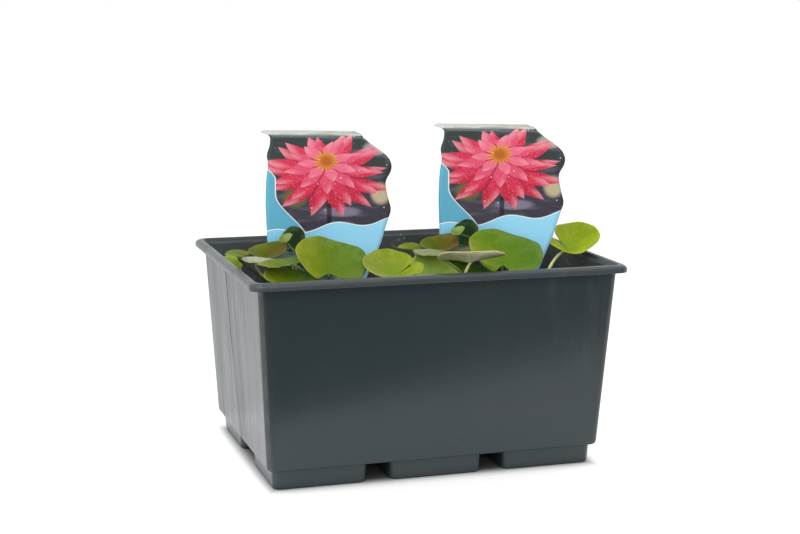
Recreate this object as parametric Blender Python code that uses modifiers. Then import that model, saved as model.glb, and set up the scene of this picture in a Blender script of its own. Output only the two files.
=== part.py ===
# Two dwarf water lilies in pond baskets that stand in one rectangular plastic tub,
# each with a printed picture label pushed into its soil.
# Metres, +Z up. The origin is on the ground under the middle of the tub,
# X runs along the tub's long side and -Y is the side that is seen from the front.
# Dimensions below are in millimetres and degrees, and are turned into metres by MM.

import math

import bmesh
import bpy
import numpy as np

MM = 0.001
GAP = 0.3

# Tub: rim outline, height, and half sizes of the body under the rim and at its bottom
TUB_LENGTH = 400.0
TUB_WIDTH = 300.0
TUB_WALL = 2.2
TUB_FLOOR = 2.5
BODY_TOP = (190.4, 140.4, 208.9)
BODY_LOW = (179.3, 126.9, 20.6)
BODY_CORNER = 8.0
RIM_CORNER = 12.0
CORNER_STEPS = 6

# Rim section from its lower lip over the crest: how far in from the outer edge, and height
RIM_OUTSIDE = ((1.0, 209.3), (0.0, 210.3), (0.0, 213.5), (2.2, 216.0), (5.0, 217.1))
RIM_INSIDE = ((11.8, 211.5), (9.0, 215.6), (6.8, 217.1), (2.8, 219.5))

# Feet: two rows of three hollow feet, with each one's x limits and the rows' y limits
FOOT_SPANS = ((-173.7, -73.0), (-51.0, 51.0), (73.0, 173.7))
FOOT_ROWS = ((-121.0, -28.0), (28.0, 121.0))
FOOT_TAPER = 0.8
FOOT_CORNER = 7.0
FOOT_WALL = 2.5

# Shallow recess down the middle of each short side
RECESS_HALF = 31.3
RECESS_DEPTH = 0.5

# Pond baskets, both alike, and the soil in them
BASKET_CENTRES = {"left": -88.0, "right": 88.0}
BASKET_TOP = 150.0
BASKET_LOW = 118.0
BASKET_HEIGHT = 109.6
BASKET_WALL = 1.6
BASKET_FLANGE = 4.0
BASKET_SKIRT = 6.0
BASKET_CORNER = 12.0
SOIL_TOP = 125.0

# Growing points, one on the soil of each basket
CROWN_CENTRES = {"left": (-98.0, -18.0), "right": (80.0, -44.0)}
CROWN_RADIUS = 8.6
CROWN_HEIGHT = 11.0

# Labels: where the stick meets the soil, the face's turn about Z,
# and how far the right-hand one stands higher and aside
LABEL_FEET = {"left": (-74.5, 15.0), "right": (106.7, -33.0)}
LABEL_TURN = 20.0
LABEL_LIFT = {"left": 0.0, "right": 5.5}
LABEL_ASIDE = {"left": 0.0, "right": -1.5}
LABEL_THICK = 0.8
STICK_HALF = 12.5

# Label outline up to the fold: height over the soil, left edge and right edge
LABEL_ROWS = (
    (-52.0, -2.0, 2.0),
    (-40.0, -STICK_HALF, STICK_HALF),
    (3.0, -STICK_HALF, STICK_HALF),
    (14.0, -26.0, 18.0),
    (34.0, -50.0, 26.0),
    (60.0, -63.0, 36.0),
    (85.0, -68.5, 45.5),
    (102.0, -70.0, 52.5),
    (128.0, -71.0, 60.0),
    (139.0, -71.5, 64.0),
    (148.0, -71.5, 61.0),
    (163.0, -71.0, 57.5),
    (170.5, -70.5, 57.0),
    (178.0, -69.5, 62.5),
    (186.0, -68.0, 64.5),
    (191.0, -69.5, 62.5),
    (196.5, -70.5, 59.5),
    (205.0, -66.5, 47.5),
    (214.5, -66.0, 33.5),
)

# Label header, folded back over the fold line: distance past the fold, left and right edge
HEADER_ROWS = ((1.5, -66.5, 33.0), (3.0, -67.5, 32.5), (4.5, -69.0, 31.5), (5.8, -71.0, 31.0))
HEADER_ENDS = ((12.0, -76.0, 27.5), (17.0, -75.0, 25.0), (22.8, -71.5, 22.5))
FOLD_RADIUS = 4.5
FOLD_ANGLE = 84.0

# Leaves and stems
LEAF_THICK = 0.8
LEAF_RINGS = (0.55, 1.0)
LEAF_SECTORS = 14
STEM_RADII = ((28.0, 1.9), (17.0, 1.5), (0.0, 1.2))
STEM_POINTS = 8
STEM_SIDES = 1
STEM_FOOT_Z = 127.0
STEM_JOINT_GAP = 0.5

# One entry for each leaf. Where the stem joins it: x, y, z. Its pose: heading of the tip,
# rise of the midrib and roll about it. Its form: radius, dish, fold along the midrib, curl
# along its length, half angle of the notch, oval, ripple and ripple's phase.
# Then the stem: x and y of its foot, and the two points that bend it on the way up.
LEAVES = {
    "left_large": ((-104, -79, 211.5), (82, 26, 9), (38.5, 0.29, 0.45, 0.09, 32, 0.09, 0.05, 0.1),
        (-100, -34), (-103, -63, 181), (-102, -56, 166)),
    "left_small": ((-188, -42, 228), (156, 6, -5), (12.5, 0.08, 0.15, -0.15, 12, 0.2, 0.02, -2.4),
        (-102, -5), (-131, -50, 193), (-193, -9, 216)),
    "left_lobe": ((-172, 54.5, 205), (203, 6, -45), (11, -0.1, -0.62, 0.19, 5, 0.19, 0.03, -0.4),
        (-112, -7), (-142, 31, 154), (-161, 52, 180)),
    "left_olive": ((-152, 0.5, 216.5), (18, 6, 8), (21.5, 0.25, 0.12, 0.42, 9, 0.19, 0.01, 1.5),
        (-113, -12), (-136, -4, 178), (-141, -3, 189)),
    "left_dark": ((-119, 12, 227.5), (24, 48, 20), (15, 0.36, -0.14, 0.33, 9, 0.19, 0.03, -0.7),
        (-107, -7), (-114, 5, 185), (-114, 5, 183)),
    "left_flap": ((-130.5, -8, 234), (52, 25, -4), (8.5, 0.31, 1.3, 0.49, 12, 0.07, 0.05, 2.5),
        (-89, -27), (-92, -21, 179), (-114, -23, 213)),
    "left_pale": ((-166, -44, 219), (48, -4, 1), (21.5, 0.09, 0.18, 0.01, 13, 0.14, 0.01, -0.4),
        (-110, -25), (-157, -22, 207), (-176, -17, 214)),
    "left_floating": ((-156.5, -85, 222), (96, -1, -5), (21.5, 0.09, 0.26, 0.13, 15, 0.03, 0.02, 0.4),
        (-109, -19), (-100, -27, 186), (-122, -56, 226)),
    "left_front": ((-148, -92.5, 203), (40, 4, 11), (27, 0.21, 0.46, 0.27, 10, -0.04, 0.01, 0.4),
        (-105, -30), (-133, -71, 175), (-143, -85, 191)),
    "left_flat": ((-125, -8, 214), (133, -2, -7), (15.5, 0.13, 0.31, 0.13, 11, 0.03, 0.02, -2.2),
        (-114, -18), (-120, -13, 171), (-122, -10, 192)),
    "left_back": ((-84.5, 92, 221), (110, 8, 5), (26, 0.12, 0.3, 0.1, 12, 0.06, 0.03, 0.5),
        (-97, -1), (-113, 49, 141), (-90, 81, 198)),
    "left_rear": ((-39.5, 58, 218.5), (70, 6, -6), (23, 0.1, 0.35, 0.1, 10, 0.06, 0.03, 2),
        (-106, -2), (-123, 50, 144), (-74, 59, 188)),
    "middle_bright": ((-38, -99, 210), (197, -9, -17), (31.5, 0.3, 0.4, 0.24, 4, 0.15, 0.02, -3.9),
        (-87, -30), (-56, -69, 175), (-46, -82, 192)),
    "right_large": ((86.5, -77.5, 211), (70, 21, 10), (41, 0.17, 0.54, 0.22, 20, 0.15, 0.04, 0),
        (83, -60), (85, -66, 158), (86, -70, 176)),
    "right_small": ((2, -30, 223), (152, 2, -6), (13, 0.17, 0.31, -0.02, 4, 0.21, 0, 0.2),
        (69, -32), (40, -30, 168), (19, -30, 197)),
    "right_olive": ((27, -39, 222.5), (17, 10, 9), (21.5, 0.31, 0.05, 0.33, 11, 0.13, 0.03, 1.2),
        (70, -52), (36, -39, 197), (35, -39, 204)),
    "right_dark": ((61.5, -28.5, 233.5), (10, 40, 27), (15.5, 0.43, -0.06, 0.34, 8, 0.15, 0.03, -0.5),
        (90, -31), (72, -28, 193), (72, -27, 198)),
    "right_flap": ((47, -48, 241), (50, 23, -5), (8.5, 0.25, 1.08, 0.38, 6, 0.09, 0.05, 2.6),
        (94, -48), (99, -48, 184), (78, -44, 238)),
    "right_pale": ((7.5, -83, 225.5), (49, -3, 1), (22.5, 0.04, 0.24, 0.1, 11, 0.12, 0.02, -0.3),
        (78, -60), (61, -95, 168), (42, -105, 214)),
    "right_front": ((47.5, -62, 195), (40, 7, 10), (28.5, 0.25, 0.39, 0.19, 10, -0.05, 0.01, 0.4),
        (77, -56), (57, -61, 172), (60, -60, 166)),
    "right_flat": ((53.5, -52, 221), (139, -4, -7), (16, 0.13, 0.29, 0.14, 8, 0.03, 0.01, -1.4),
        (79, -29), (76, -27, 183), (70, -33, 211)),
    "right_dull": ((7, -80, 201.5), (44, 13, 22), (26.5, 0.3, 0.38, 0.03, 4, 0.06, 0, -0.3),
        (64, -44), (49, -52, 144), (24, -67, 175)),
    "right_funnel": ((35, -117.5, 222), (278, 18, -5), (35, 0.38, -0.3, -0.36, 41, 0.08, 0.02, 0.4),
        (69, -56), (31, -94, 176), (27, -110, 207)),
    "right_edge": ((182, -31.5, 215), (-43, -15, 33), (29, 0.6, 1.05, 0.54, 7, 0.22, 0.1, -3.4),
        (93, -53), (145, -55, 142), (150, -27, 211)),
    "right_back": ((148, 72, 221.5), (80, 8, 4), (28, 0.12, 0.3, 0.1, 12, 0.06, 0.03, 1.2),
        (82, -28), (126, 40, 174), (142, 63, 202)),
}

COLOURS = {
    "tub_plastic": (0.030, 0.037, 0.040),
    "basket_plastic": (0.012, 0.012, 0.013),
    "pond_soil": (0.060, 0.042, 0.028),
    "crown_skin": (0.110, 0.085, 0.045),
    "label_print": (0.160, 0.430, 0.620),
    "leaf_green": (0.130, 0.240, 0.040),
    "leaf_dull": (0.200, 0.260, 0.120),
    "stem_pale": (0.520, 0.540, 0.220),
}
DULL_LEAVES = ("left_flap", "right_flap", "left_pale", "right_pale", "left_flat", "right_flat", "right_funnel")


def clear_scene():
    for thing in list(bpy.data.objects):
        bpy.data.objects.remove(thing)


def make_collection(name):
    collection = bpy.data.collections.new(name)
    bpy.context.scene.collection.children.link(collection)
    return collection


def make_material(name, roughness):
    material = bpy.data.materials.new(name)
    material.use_nodes = True
    shader = material.node_tree.nodes["Principled BSDF"]
    shader.inputs["Base Color"].default_value = (*COLOURS[name], 1.0)
    shader.inputs["Roughness"].default_value = roughness
    shader.inputs["Metallic"].default_value = 0.0
    return material


def add_object(name, data, collection, material=None):
    thing = bpy.data.objects.new(name, data)
    collection.objects.link(thing)
    if material is not None:
        data.materials.append(material)
    return thing


def make_cutter(thing):
    thing.hide_render = True
    thing.display_type = "WIRE"


def add_boolean(thing, other, operation):
    modifier = thing.modifiers.new(other.name, "BOOLEAN")
    modifier.operation = operation
    modifier.solver = "EXACT"
    modifier.object = other


def round_rectangle(limits, corner, height, steps):
    # limits are x from, x to, y from, y to; the points run anticlockwise seen from above
    x0, x1, y0, y1 = limits
    points = []
    corners = ((x1 - corner, y0 + corner, -90), (x1 - corner, y1 - corner, 0),
               (x0 + corner, y1 - corner, 90), (x0 + corner, y0 + corner, 180))
    for cx, cy, start in corners:
        for step in range(steps + 1):
            angle = math.radians(start + 90 * step / steps)
            points.append((cx + corner * math.cos(angle), cy + corner * math.sin(angle), height))
    return points


def centred(half_x, half_y, middle=0.0):
    return (middle - half_x, middle + half_x, -half_y, half_y)


def add_loft(mesh, rings):
    # walls between rings of equal length, closed by a flat face at each end
    loops = [[mesh.verts.new([value * MM for value in point]) for point in ring] for ring in rings]
    count = len(loops[0])
    for low, high in zip(loops, loops[1:]):
        for i in range(count):
            j = (i + 1) % count
            mesh.faces.new((low[i], low[j], high[j], high[i]))
    mesh.faces.new(list(reversed(loops[0])))
    mesh.faces.new(loops[-1])


def loft_object(name, lofts, collection, material=None):
    mesh = bmesh.new()
    for rings in lofts:
        add_loft(mesh, rings)
    data = bpy.data.meshes.new(name)
    mesh.to_mesh(data)
    mesh.free()
    thing = add_object(name, data, collection, material)
    return thing


def body_half(height):
    # half sizes of the tub's outer wall at a height: the wall leans out evenly
    share = (height - BODY_LOW[2]) / (BODY_TOP[2] - BODY_LOW[2])
    return (BODY_LOW[0] + (BODY_TOP[0] - BODY_LOW[0]) * share,
            BODY_LOW[1] + (BODY_TOP[1] - BODY_LOW[1]) * share)


def body_ring(inset, height):
    half_x, half_y = body_half(height)
    return round_rectangle(centred(half_x - inset, half_y - inset), BODY_CORNER - inset * 0.7, height, CORNER_STEPS)


def rim_ring(inset, height):
    limits = centred(TUB_LENGTH / 2 - inset, TUB_WIDTH / 2 - inset)
    return round_rectangle(limits, RIM_CORNER - inset * 0.5, height, CORNER_STEPS)


def foot_rings(span, row, inset, low, high):
    rings = []
    for height, taper in ((low, FOOT_TAPER + 1.0), (low + 1.2, FOOT_TAPER), (high, 0.0)):
        shrink = inset + taper
        limits = (span[0] + shrink, span[1] - shrink, row[0] + shrink, row[1] - shrink)
        rings.append(round_rectangle(limits, FOOT_CORNER - inset * 0.8, height, 3))
    return rings


def recess_rings(side):
    # a thin upright slab that follows the leaning short wall and cuts into it
    rings = []
    for height in (BODY_LOW[2] + 1.0, BODY_TOP[2] - 4.0):
        wall = body_half(height)[0]
        near, far = sorted((side * (wall - RECESS_DEPTH), side * (wall + 6.0)))
        rings.append([(near, -RECESS_HALF, height), (far, -RECESS_HALF, height),
                      (far, RECESS_HALF, height), (near, RECESS_HALF, height)])
    return rings


def build_tub(parts, cutters):
    outside = [body_ring(3.5, 20.6), body_ring(1.0, 21.9), body_ring(0.0, 24.6), body_ring(0.0, BODY_TOP[2])]
    outside += [rim_ring(inset, height) for inset, height in RIM_OUTSIDE]
    floor = BODY_LOW[2] + TUB_FLOOR
    inside = [body_ring(TUB_WALL + 3.0, floor), body_ring(TUB_WALL, floor + 3.0), body_ring(TUB_WALL, 209.0)]
    inside += [rim_ring(inset, height) for inset, height in RIM_INSIDE]
    tub = loft_object("tub", [outside], parts, make_material("tub_plastic", 0.35))
    feet = loft_object("tub_feet", [foot_rings(span, row, 0.0, 0.0, 22.0) for span in FOOT_SPANS
                                    for row in FOOT_ROWS], cutters)
    hollow = loft_object("tub_inside", [inside], cutters)
    pockets = loft_object("tub_foot_pockets", [foot_rings(span, row, FOOT_WALL, FOOT_WALL, floor + 1.5)
                                               for span in FOOT_SPANS for row in FOOT_ROWS], cutters)
    recess = loft_object("tub_recess", [recess_rings(-1), recess_rings(1)], cutters)
    for cutter, operation in ((feet, "UNION"), (hollow, "DIFFERENCE"), (pockets, "DIFFERENCE"),
                              (recess, "DIFFERENCE")):
        make_cutter(cutter)
        add_boolean(tub, cutter, operation)


def basket_half(height):
    # half size of a basket's outer wall at a height above its own base
    return (BASKET_LOW + (BASKET_TOP - 2 * BASKET_FLANGE - BASKET_LOW) * height / BASKET_HEIGHT) / 2


def basket_ring(side, inset, height, base):
    half = basket_half(height) - inset
    limits = centred(half, half, BASKET_CENTRES[side])
    limits = (limits[0], limits[1], -half, half)
    return round_rectangle(limits, BASKET_CORNER - inset, base + height, 3)


def build_basket(side, parts, cutters, material):
    base = BODY_LOW[2] + TUB_FLOOR + GAP
    top = BASKET_HEIGHT
    outside = [basket_ring(side, 2.5, 0.0, base), basket_ring(side, 0.0, 2.5, base)]
    outside.append(basket_ring(side, 0.0, top - BASKET_SKIRT, base))
    outside.append(basket_ring(side, -BASKET_FLANGE, top - BASKET_SKIRT, base))
    outside.append(basket_ring(side, -BASKET_FLANGE, top, base))
    inside = [basket_ring(side, BASKET_WALL, BASKET_WALL, base), basket_ring(side, BASKET_WALL, top + 2.0, base)]
    basket = loft_object("basket_" + side, [outside], parts, material)
    hollow = loft_object("basket_inside_" + side, [inside], cutters)
    make_cutter(hollow)
    add_boolean(basket, hollow, "DIFFERENCE")


def label_frame(side):
    # the label's foot, and its directions to the right and to the back
    turn = math.radians(LABEL_TURN)
    across = np.array([math.cos(turn), -math.sin(turn), 0.0])
    back = np.array([math.sin(turn), math.cos(turn), 0.0])
    foot = np.array([*LABEL_FEET[side], SOIL_TOP + LABEL_LIFT[side]]) + across * LABEL_ASIDE[side]
    return foot, across, back


def build_soil(side, parts, cutters, material):
    base = BODY_LOW[2] + TUB_FLOOR + GAP
    low = BASKET_WALL + GAP
    rings = [basket_ring(side, BASKET_WALL + GAP, low, base), basket_ring(side, BASKET_WALL + GAP, SOIL_TOP - base, base)]
    soil = loft_object("soil_" + side, [rings], parts, material)
    foot, across, back = label_frame(side)
    bottom = foot[2] + LABEL_ROWS[0][0] - GAP
    height = SOIL_TOP + 5.0 - bottom
    bpy.ops.mesh.primitive_cube_add(size=1.0)
    slot = bpy.context.object
    slot.name = "soil_slot_" + side
    for collection in list(slot.users_collection):
        collection.objects.unlink(slot)
    cutters.objects.link(slot)
    slot.scale = (2 * (STICK_HALF + GAP) * MM, (LABEL_THICK + 2 * GAP) * MM, height * MM)
    slot.rotation_euler = (0.0, 0.0, -math.radians(LABEL_TURN))
    slot.location = (foot[0] * MM, foot[1] * MM, (bottom + height / 2) * MM)
    make_cutter(slot)
    add_boolean(soil, slot, "DIFFERENCE")


def build_crown(side, parts, material):
    mesh = bmesh.new()
    bmesh.ops.create_uvsphere(mesh, u_segments=10, v_segments=6, radius=1.0)
    bmesh.ops.scale(mesh, vec=(CROWN_RADIUS * MM, CROWN_RADIUS * MM, CROWN_HEIGHT / 2 * MM), verts=mesh.verts)
    data = bpy.data.meshes.new("crown_" + side)
    mesh.to_mesh(data)
    mesh.free()
    data.shade_smooth()
    crown = add_object("crown_" + side, data, parts, material)
    centre_x, centre_y = CROWN_CENTRES[side]
    crown.location = (centre_x * MM, centre_y * MM, (SOIL_TOP + GAP + CROWN_HEIGHT / 2) * MM)


def add_sheet(name, grid, thickness, parts, material):
    # a grid of points (rows, columns, 3) made into faces and thickened evenly to both sides
    rows, columns = grid.shape[:2]
    mesh = bmesh.new()
    verts = [[mesh.verts.new(point * MM) for point in row] for row in grid]
    for i in range(rows - 1):
        for j in range(columns - 1):
            mesh.faces.new((verts[i][j], verts[i][j + 1], verts[i + 1][j + 1], verts[i + 1][j]))
    bmesh.ops.remove_doubles(mesh, verts=mesh.verts, dist=1e-6)
    data = bpy.data.meshes.new(name)
    mesh.to_mesh(data)
    mesh.free()
    sheet = add_object(name, data, parts, material)
    solidify = sheet.modifiers.new("thickness", "SOLIDIFY")
    solidify.thickness = thickness * MM
    solidify.offset = 0.0
    return sheet


def build_label(side, parts, material):
    foot, across, back = label_frame(side)
    rows = [(height, 0.0, left, right) for height, left, right in LABEL_ROWS]
    top = LABEL_ROWS[-1][0]
    bend = math.radians(FOLD_ANGLE)
    arc = FOLD_RADIUS * bend
    for past, left, right in HEADER_ROWS + HEADER_ENDS:
        angle = min(past, arc) / FOLD_RADIUS
        flat = max(past - arc, 0.0)
        height = FOLD_RADIUS * math.sin(angle) + flat * math.cos(bend)
        depth = FOLD_RADIUS * (1 - math.cos(angle)) + flat * math.sin(bend)
        rows.append((top + height, depth, left, right))
    grid = np.array([[foot + across * aside + back * depth + np.array([0.0, 0.0, height])
                      for aside in (left, (left + right) / 2, right)]
                     for height, depth, left, right in rows])
    add_sheet("label_" + side, grid, LABEL_THICK, parts, material)


def leaf_axes(heading, rise, roll):
    # midrib direction, direction across the leaf, and the upper side's normal
    heading, rise, roll = np.radians([heading, rise, roll])
    along = np.array([np.cos(heading) * np.cos(rise), np.sin(heading) * np.cos(rise), np.sin(rise)])
    level = np.array([-np.sin(heading), np.cos(heading), 0.0])
    across = np.cos(roll) * level + np.sin(roll) * np.cross(along, level)
    return along, across, np.cross(along, across)


def roll_up(flat, height, amount, radius):
    # bends a flat coordinate round a cylinder, so that its ends rise by the amount
    curvature = amount / radius + 1e-6
    turned = np.sin(curvature * flat) / curvature
    return turned, height * np.cos(curvature * flat) + (1 - np.cos(curvature * flat)) / curvature


def leaf_surface(form, share, angle):
    # share runs 0 at the stem to 1 at the margin; angle is 0 at the tip, the notch is at 180
    radius, dish, fold, curl, notch, oval, ripple, phase = form
    last = np.pi - np.radians(notch)
    near_notch = np.clip((np.abs(angle) - (last - 0.5)) / 0.5, 0.0, 1.0)
    margin = radius * (1 + oval * np.cos(angle)) * (1 - 0.16 * near_notch ** 2)
    reach = share * margin
    x = reach * np.cos(angle)
    y = reach * np.sin(angle)
    z = dish * reach + ripple * radius * share ** 3 * np.sin(4 * angle + phase)
    y, z = roll_up(y, z, fold, radius)
    x, z = roll_up(x, z, curl, radius)
    return x, y, z


def build_leaf(name, leaf, parts, material):
    hub, pose, form = leaf[:3]
    last = np.pi - np.radians(form[4])
    share, angle = np.meshgrid((0.0, *LEAF_RINGS), np.linspace(-last, last, LEAF_SECTORS + 1), indexing="ij")
    x, y, z = leaf_surface(form, share, angle)
    along, across, normal = leaf_axes(*pose)
    grid = np.array(hub) + x[..., None] * along + y[..., None] * across + z[..., None] * normal
    add_sheet("leaf_" + name, grid, LEAF_THICK, parts, material)


def stem_radius(form):
    for limit, radius in STEM_RADII:
        if form[0] >= limit:
            return radius


def build_stem(name, leaf, parts, material):
    hub, pose, form, foot, bend, lead = leaf
    radius = stem_radius(form)
    normal = leaf_axes(*pose)[2]
    aim = np.array(hub) - np.array(lead)
    aim = aim / np.linalg.norm(aim)
    slant = math.sqrt(max(0.0, 1.0 - float(aim @ normal) ** 2))
    end = np.array(hub) - normal * (LEAF_THICK / 2 + STEM_JOINT_GAP + radius * slant)
    start = np.array([*foot, STEM_FOOT_Z])
    curve = bpy.data.curves.new("stem_" + name, "CURVE")
    curve.dimensions = "3D"
    curve.bevel_depth = radius * MM
    curve.bevel_resolution = STEM_SIDES
    curve.use_fill_caps = True
    spline = curve.splines.new("POLY")
    spline.points.add(STEM_POINTS - 1)
    for index in range(STEM_POINTS):
        s = index / (STEM_POINTS - 1)
        point = ((1 - s) ** 3 * start + 3 * (1 - s) ** 2 * s * np.array(bend)
                 + 3 * (1 - s) * s ** 2 * np.array(lead) + s ** 3 * end)
        spline.points[index].co = (*(point * MM), 1.0)
    add_object("stem_" + name, curve, parts, material)


def main():
    clear_scene()
    parts = make_collection("Dwarf water lily")
    cutters = make_collection("Cutters")
    build_tub(parts, cutters)
    basket_plastic = make_material("basket_plastic", 0.45)
    pond_soil = make_material("pond_soil", 0.95)
    crown_skin = make_material("crown_skin", 0.80)
    label_print = make_material("label_print", 0.30)
    for side in ("left", "right"):
        build_basket(side, parts, cutters, basket_plastic)
        build_soil(side, parts, cutters, pond_soil)
        build_crown(side, parts, crown_skin)
        build_label(side, parts, label_print)
    leaf_green = make_material("leaf_green", 0.35)
    leaf_dull = make_material("leaf_dull", 0.40)
    stem_pale = make_material("stem_pale", 0.40)
    for name, leaf in LEAVES.items():
        build_leaf(name, leaf, parts, leaf_dull if name in DULL_LEAVES else leaf_green)
        build_stem(name, leaf, parts, stem_pale)


main()
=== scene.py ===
import math

import bpy
import numpy as np
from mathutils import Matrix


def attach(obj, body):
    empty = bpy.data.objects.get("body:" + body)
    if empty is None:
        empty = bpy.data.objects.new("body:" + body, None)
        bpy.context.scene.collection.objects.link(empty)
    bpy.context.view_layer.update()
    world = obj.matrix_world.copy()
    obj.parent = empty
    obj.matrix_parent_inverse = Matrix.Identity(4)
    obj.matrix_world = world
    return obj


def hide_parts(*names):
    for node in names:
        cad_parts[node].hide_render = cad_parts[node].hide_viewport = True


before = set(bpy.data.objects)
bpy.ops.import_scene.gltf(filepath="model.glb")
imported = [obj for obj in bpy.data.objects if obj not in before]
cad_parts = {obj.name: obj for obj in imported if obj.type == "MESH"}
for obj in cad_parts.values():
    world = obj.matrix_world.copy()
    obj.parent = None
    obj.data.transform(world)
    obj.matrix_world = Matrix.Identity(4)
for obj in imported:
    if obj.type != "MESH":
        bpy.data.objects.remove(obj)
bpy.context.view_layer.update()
mm = 0.001
fullTurn = 2 * math.pi


def unit(v):
    v = np.asarray(v, float)
    return v / np.linalg.norm(v)


def smooth(low, high, x):
    # 0 below low, 1 above high, with a smooth rise between
    s = np.clip((x - low) / (high - low), 0.0, 1.0)
    return s * s * (3 - 2 * s)


def hexColour(code):
    # a screen colour such as 8fa040 as linear red, green and blue
    value = np.array([int(code[i:i + 2], 16) / 255 for i in (0, 2, 4)])
    return np.where(value < 0.04045, value / 12.92, ((value + 0.055) / 1.055) ** 2.4)


# meshes from arrays

def gridFaces(rows, columns, aroundRows=False, aroundColumns=False):
    # corner numbers of the four-sided faces between neighbouring points of a grid
    i = np.arange(rows if aroundRows else rows - 1)[:, None]
    j = np.arange(columns if aroundColumns else columns - 1)[None, :]
    i2, j2 = (i + 1) % rows, (j + 1) % columns
    faces = np.broadcast_arrays(i * columns + j, i * columns + j2, i2 * columns + j2, i2 * columns + j)
    return np.stack(faces, -1).reshape(-1, 4)


def addObject(name, data):
    item = bpy.data.objects.new(name, data)
    bpy.context.scene.collection.objects.link(item)
    return item


def makePiece(name, points, faceLists, materials, smoothAngle=40, uv=None, **colours):
    # points in millimetres; uv and each colour layer have one entry for each point; angle 0 keeps faces flat
    mesh = bpy.data.meshes.new(name)
    faces = [face for group in faceLists for face in np.asarray(group).tolist()]
    mesh.from_pydata((np.asarray(points, float) * mm).tolist(), [], faces)
    for material in materials:
        mesh.materials.append(material)
    if uv is not None:
        corner = np.empty(len(mesh.loops), np.int32)
        mesh.loops.foreach_get("vertex_index", corner)
        mesh.uv_layers.new(name="surface").data.foreach_set("uv", np.asarray(uv, np.float32)[corner].ravel())
    for label, colour in colours.items():
        layer = mesh.color_attributes.new(label, "FLOAT_COLOR", "POINT")
        layer.data.foreach_set("color", np.c_[colour, np.ones(len(colour))].astype(np.float32).ravel())
    mesh.validate()
    if smoothAngle:
        mesh.shade_smooth()
        if smoothAngle < 180:
            mesh.set_sharp_from_angle(angle=math.radians(smoothAngle))
    return addObject(name, mesh)


def addThickness(piece, thickness, backSlot=0, offset=0.0):
    modifier = piece.modifiers.new("thickness", "SOLIDIFY")
    modifier.thickness = thickness * mm
    modifier.offset = offset
    modifier.material_offset = backSlot


def fitPiece(piece, slot, *nodes):
    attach(piece, "root")
    if nodes:
        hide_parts(*nodes)


def roundBall(rows, columns):
    # directions over a sphere, ring by ring and then the two poles, with its walls and its two fans of faces
    polar, around = np.meshgrid(np.linspace(0, math.pi, rows + 2)[1:-1],
                                np.linspace(0, fullTurn, columns, endpoint=False), indexing="ij")
    ball = np.stack([np.sin(polar) * np.cos(around), np.sin(polar) * np.sin(around), np.cos(polar)], -1)
    ball = np.concatenate([ball.reshape(-1, 3), [(0, 0, 1), (0, 0, -1)]])
    j, pole = np.arange(columns), np.full(columns, rows * columns)
    upperFan = np.stack([pole, j, (j + 1) % columns], 1)
    lowerFan = np.stack([pole + 1, pole - columns + (j + 1) % columns, pole - columns + j], 1)
    return ball, [gridFaces(rows, columns, aroundColumns=True)[:, ::-1], upperFan, lowerFan]


def tubeParts(path, radius, sides):
    # circles of points carried along each path, square to it, with walls and flat ends; path is (tubes, points, 3)
    along = np.gradient(path, axis=1)
    along /= np.linalg.norm(along, axis=2, keepdims=True)
    level = np.cross(along, np.array([0.31, 0.17, 0.93]))  # any direction that no tube follows
    level /= np.linalg.norm(level, axis=2, keepdims=True)
    other = np.cross(along, level)
    angle = np.linspace(0, fullTurn, sides, endpoint=False)
    ring = level[:, :, None] * np.cos(angle)[:, None] + other[:, :, None] * np.sin(angle)[:, None]
    tubes, length = path.shape[:2]
    points = path[:, :, None] + ring * np.broadcast_to(radius, (tubes, length))[:, :, None, None]
    shift = (np.arange(tubes) * length * sides)[:, None, None]
    walls = (gridFaces(length, sides, aroundColumns=True)[None] + shift).reshape(-1, 4)
    first = np.arange(sides)[::-1][None] + shift[:, 0]
    last = (length - 1) * sides + np.arange(sides)[None] + shift[:, 0]
    return points.reshape(-1, 3), [walls, np.concatenate([first, last])]


# material building

class nodeValue:
    # the output of a shader node: arithmetic on it adds Math nodes to its tree
    def __init__(self, socket):
        self.socket = socket

    def __add__(self, other):
        return calc("ADD", self, other)

    def __sub__(self, other):
        return calc("SUBTRACT", self, other)

    def __rsub__(self, other):
        return calc("SUBTRACT", other, self)

    def __mul__(self, other):
        return calc("MULTIPLY", self, other)

    def __truediv__(self, other):
        return calc("DIVIDE", self, other)

    def __pow__(self, other):
        return calc("POWER", self, other)

    def __lt__(self, other):
        return calc("LESS_THAN", self, other)

    def __abs__(self):
        return calc("ABSOLUTE", self)

    __radd__, __rmul__ = __add__, __mul__


def treeOf(*values):
    # the node tree of the first node value among them
    return next(value.socket.id_data for value in values if isinstance(value, nodeValue))


def feed(node, inputs):
    # inputs maps a socket's name or number to a node value, a number, a triple or a screen colour
    for key, value in inputs.items():
        socket = node.inputs[key]
        if isinstance(value, nodeValue):
            node.id_data.links.new(value.socket, socket)
        elif socket.type == "RGBA":
            socket.default_value = (*(hexColour(value) if isinstance(value, str) else value), 1.0)
        else:
            socket.default_value = value


def addNode(tree, kind, inputs=None, **settings):
    node = tree.nodes.new(kind)
    for key, value in settings.items():
        setattr(node, key, value)
    feed(node, inputs or {})
    return node


def calc(operation, first, second=0.0):
    node = addNode(treeOf(first, second), "ShaderNodeMath", {0: first, 1: second}, operation=operation)
    return nodeValue(node.outputs[0])


def blend(share, first, second, mode="MIX"):
    # from the first colour at share 0 to the second at share 1
    node = addNode(treeOf(share, first, second), "ShaderNodeMix", data_type="RGBA", blend_type=mode, clamp_factor=True)
    feed(node, {0: share, 6: first, 7: second})
    return nodeValue(node.outputs[2])


def rise(value, low, high):
    # a smooth step, 0 at low and 1 at high
    node = addNode(treeOf(value), "ShaderNodeMapRange", {0: value, 1: low, 2: high, 3: 0.0, 4: 1.0},
                   interpolation_type="SMOOTHSTEP", clamp=True)
    return nodeValue(node.outputs[0])


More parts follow.
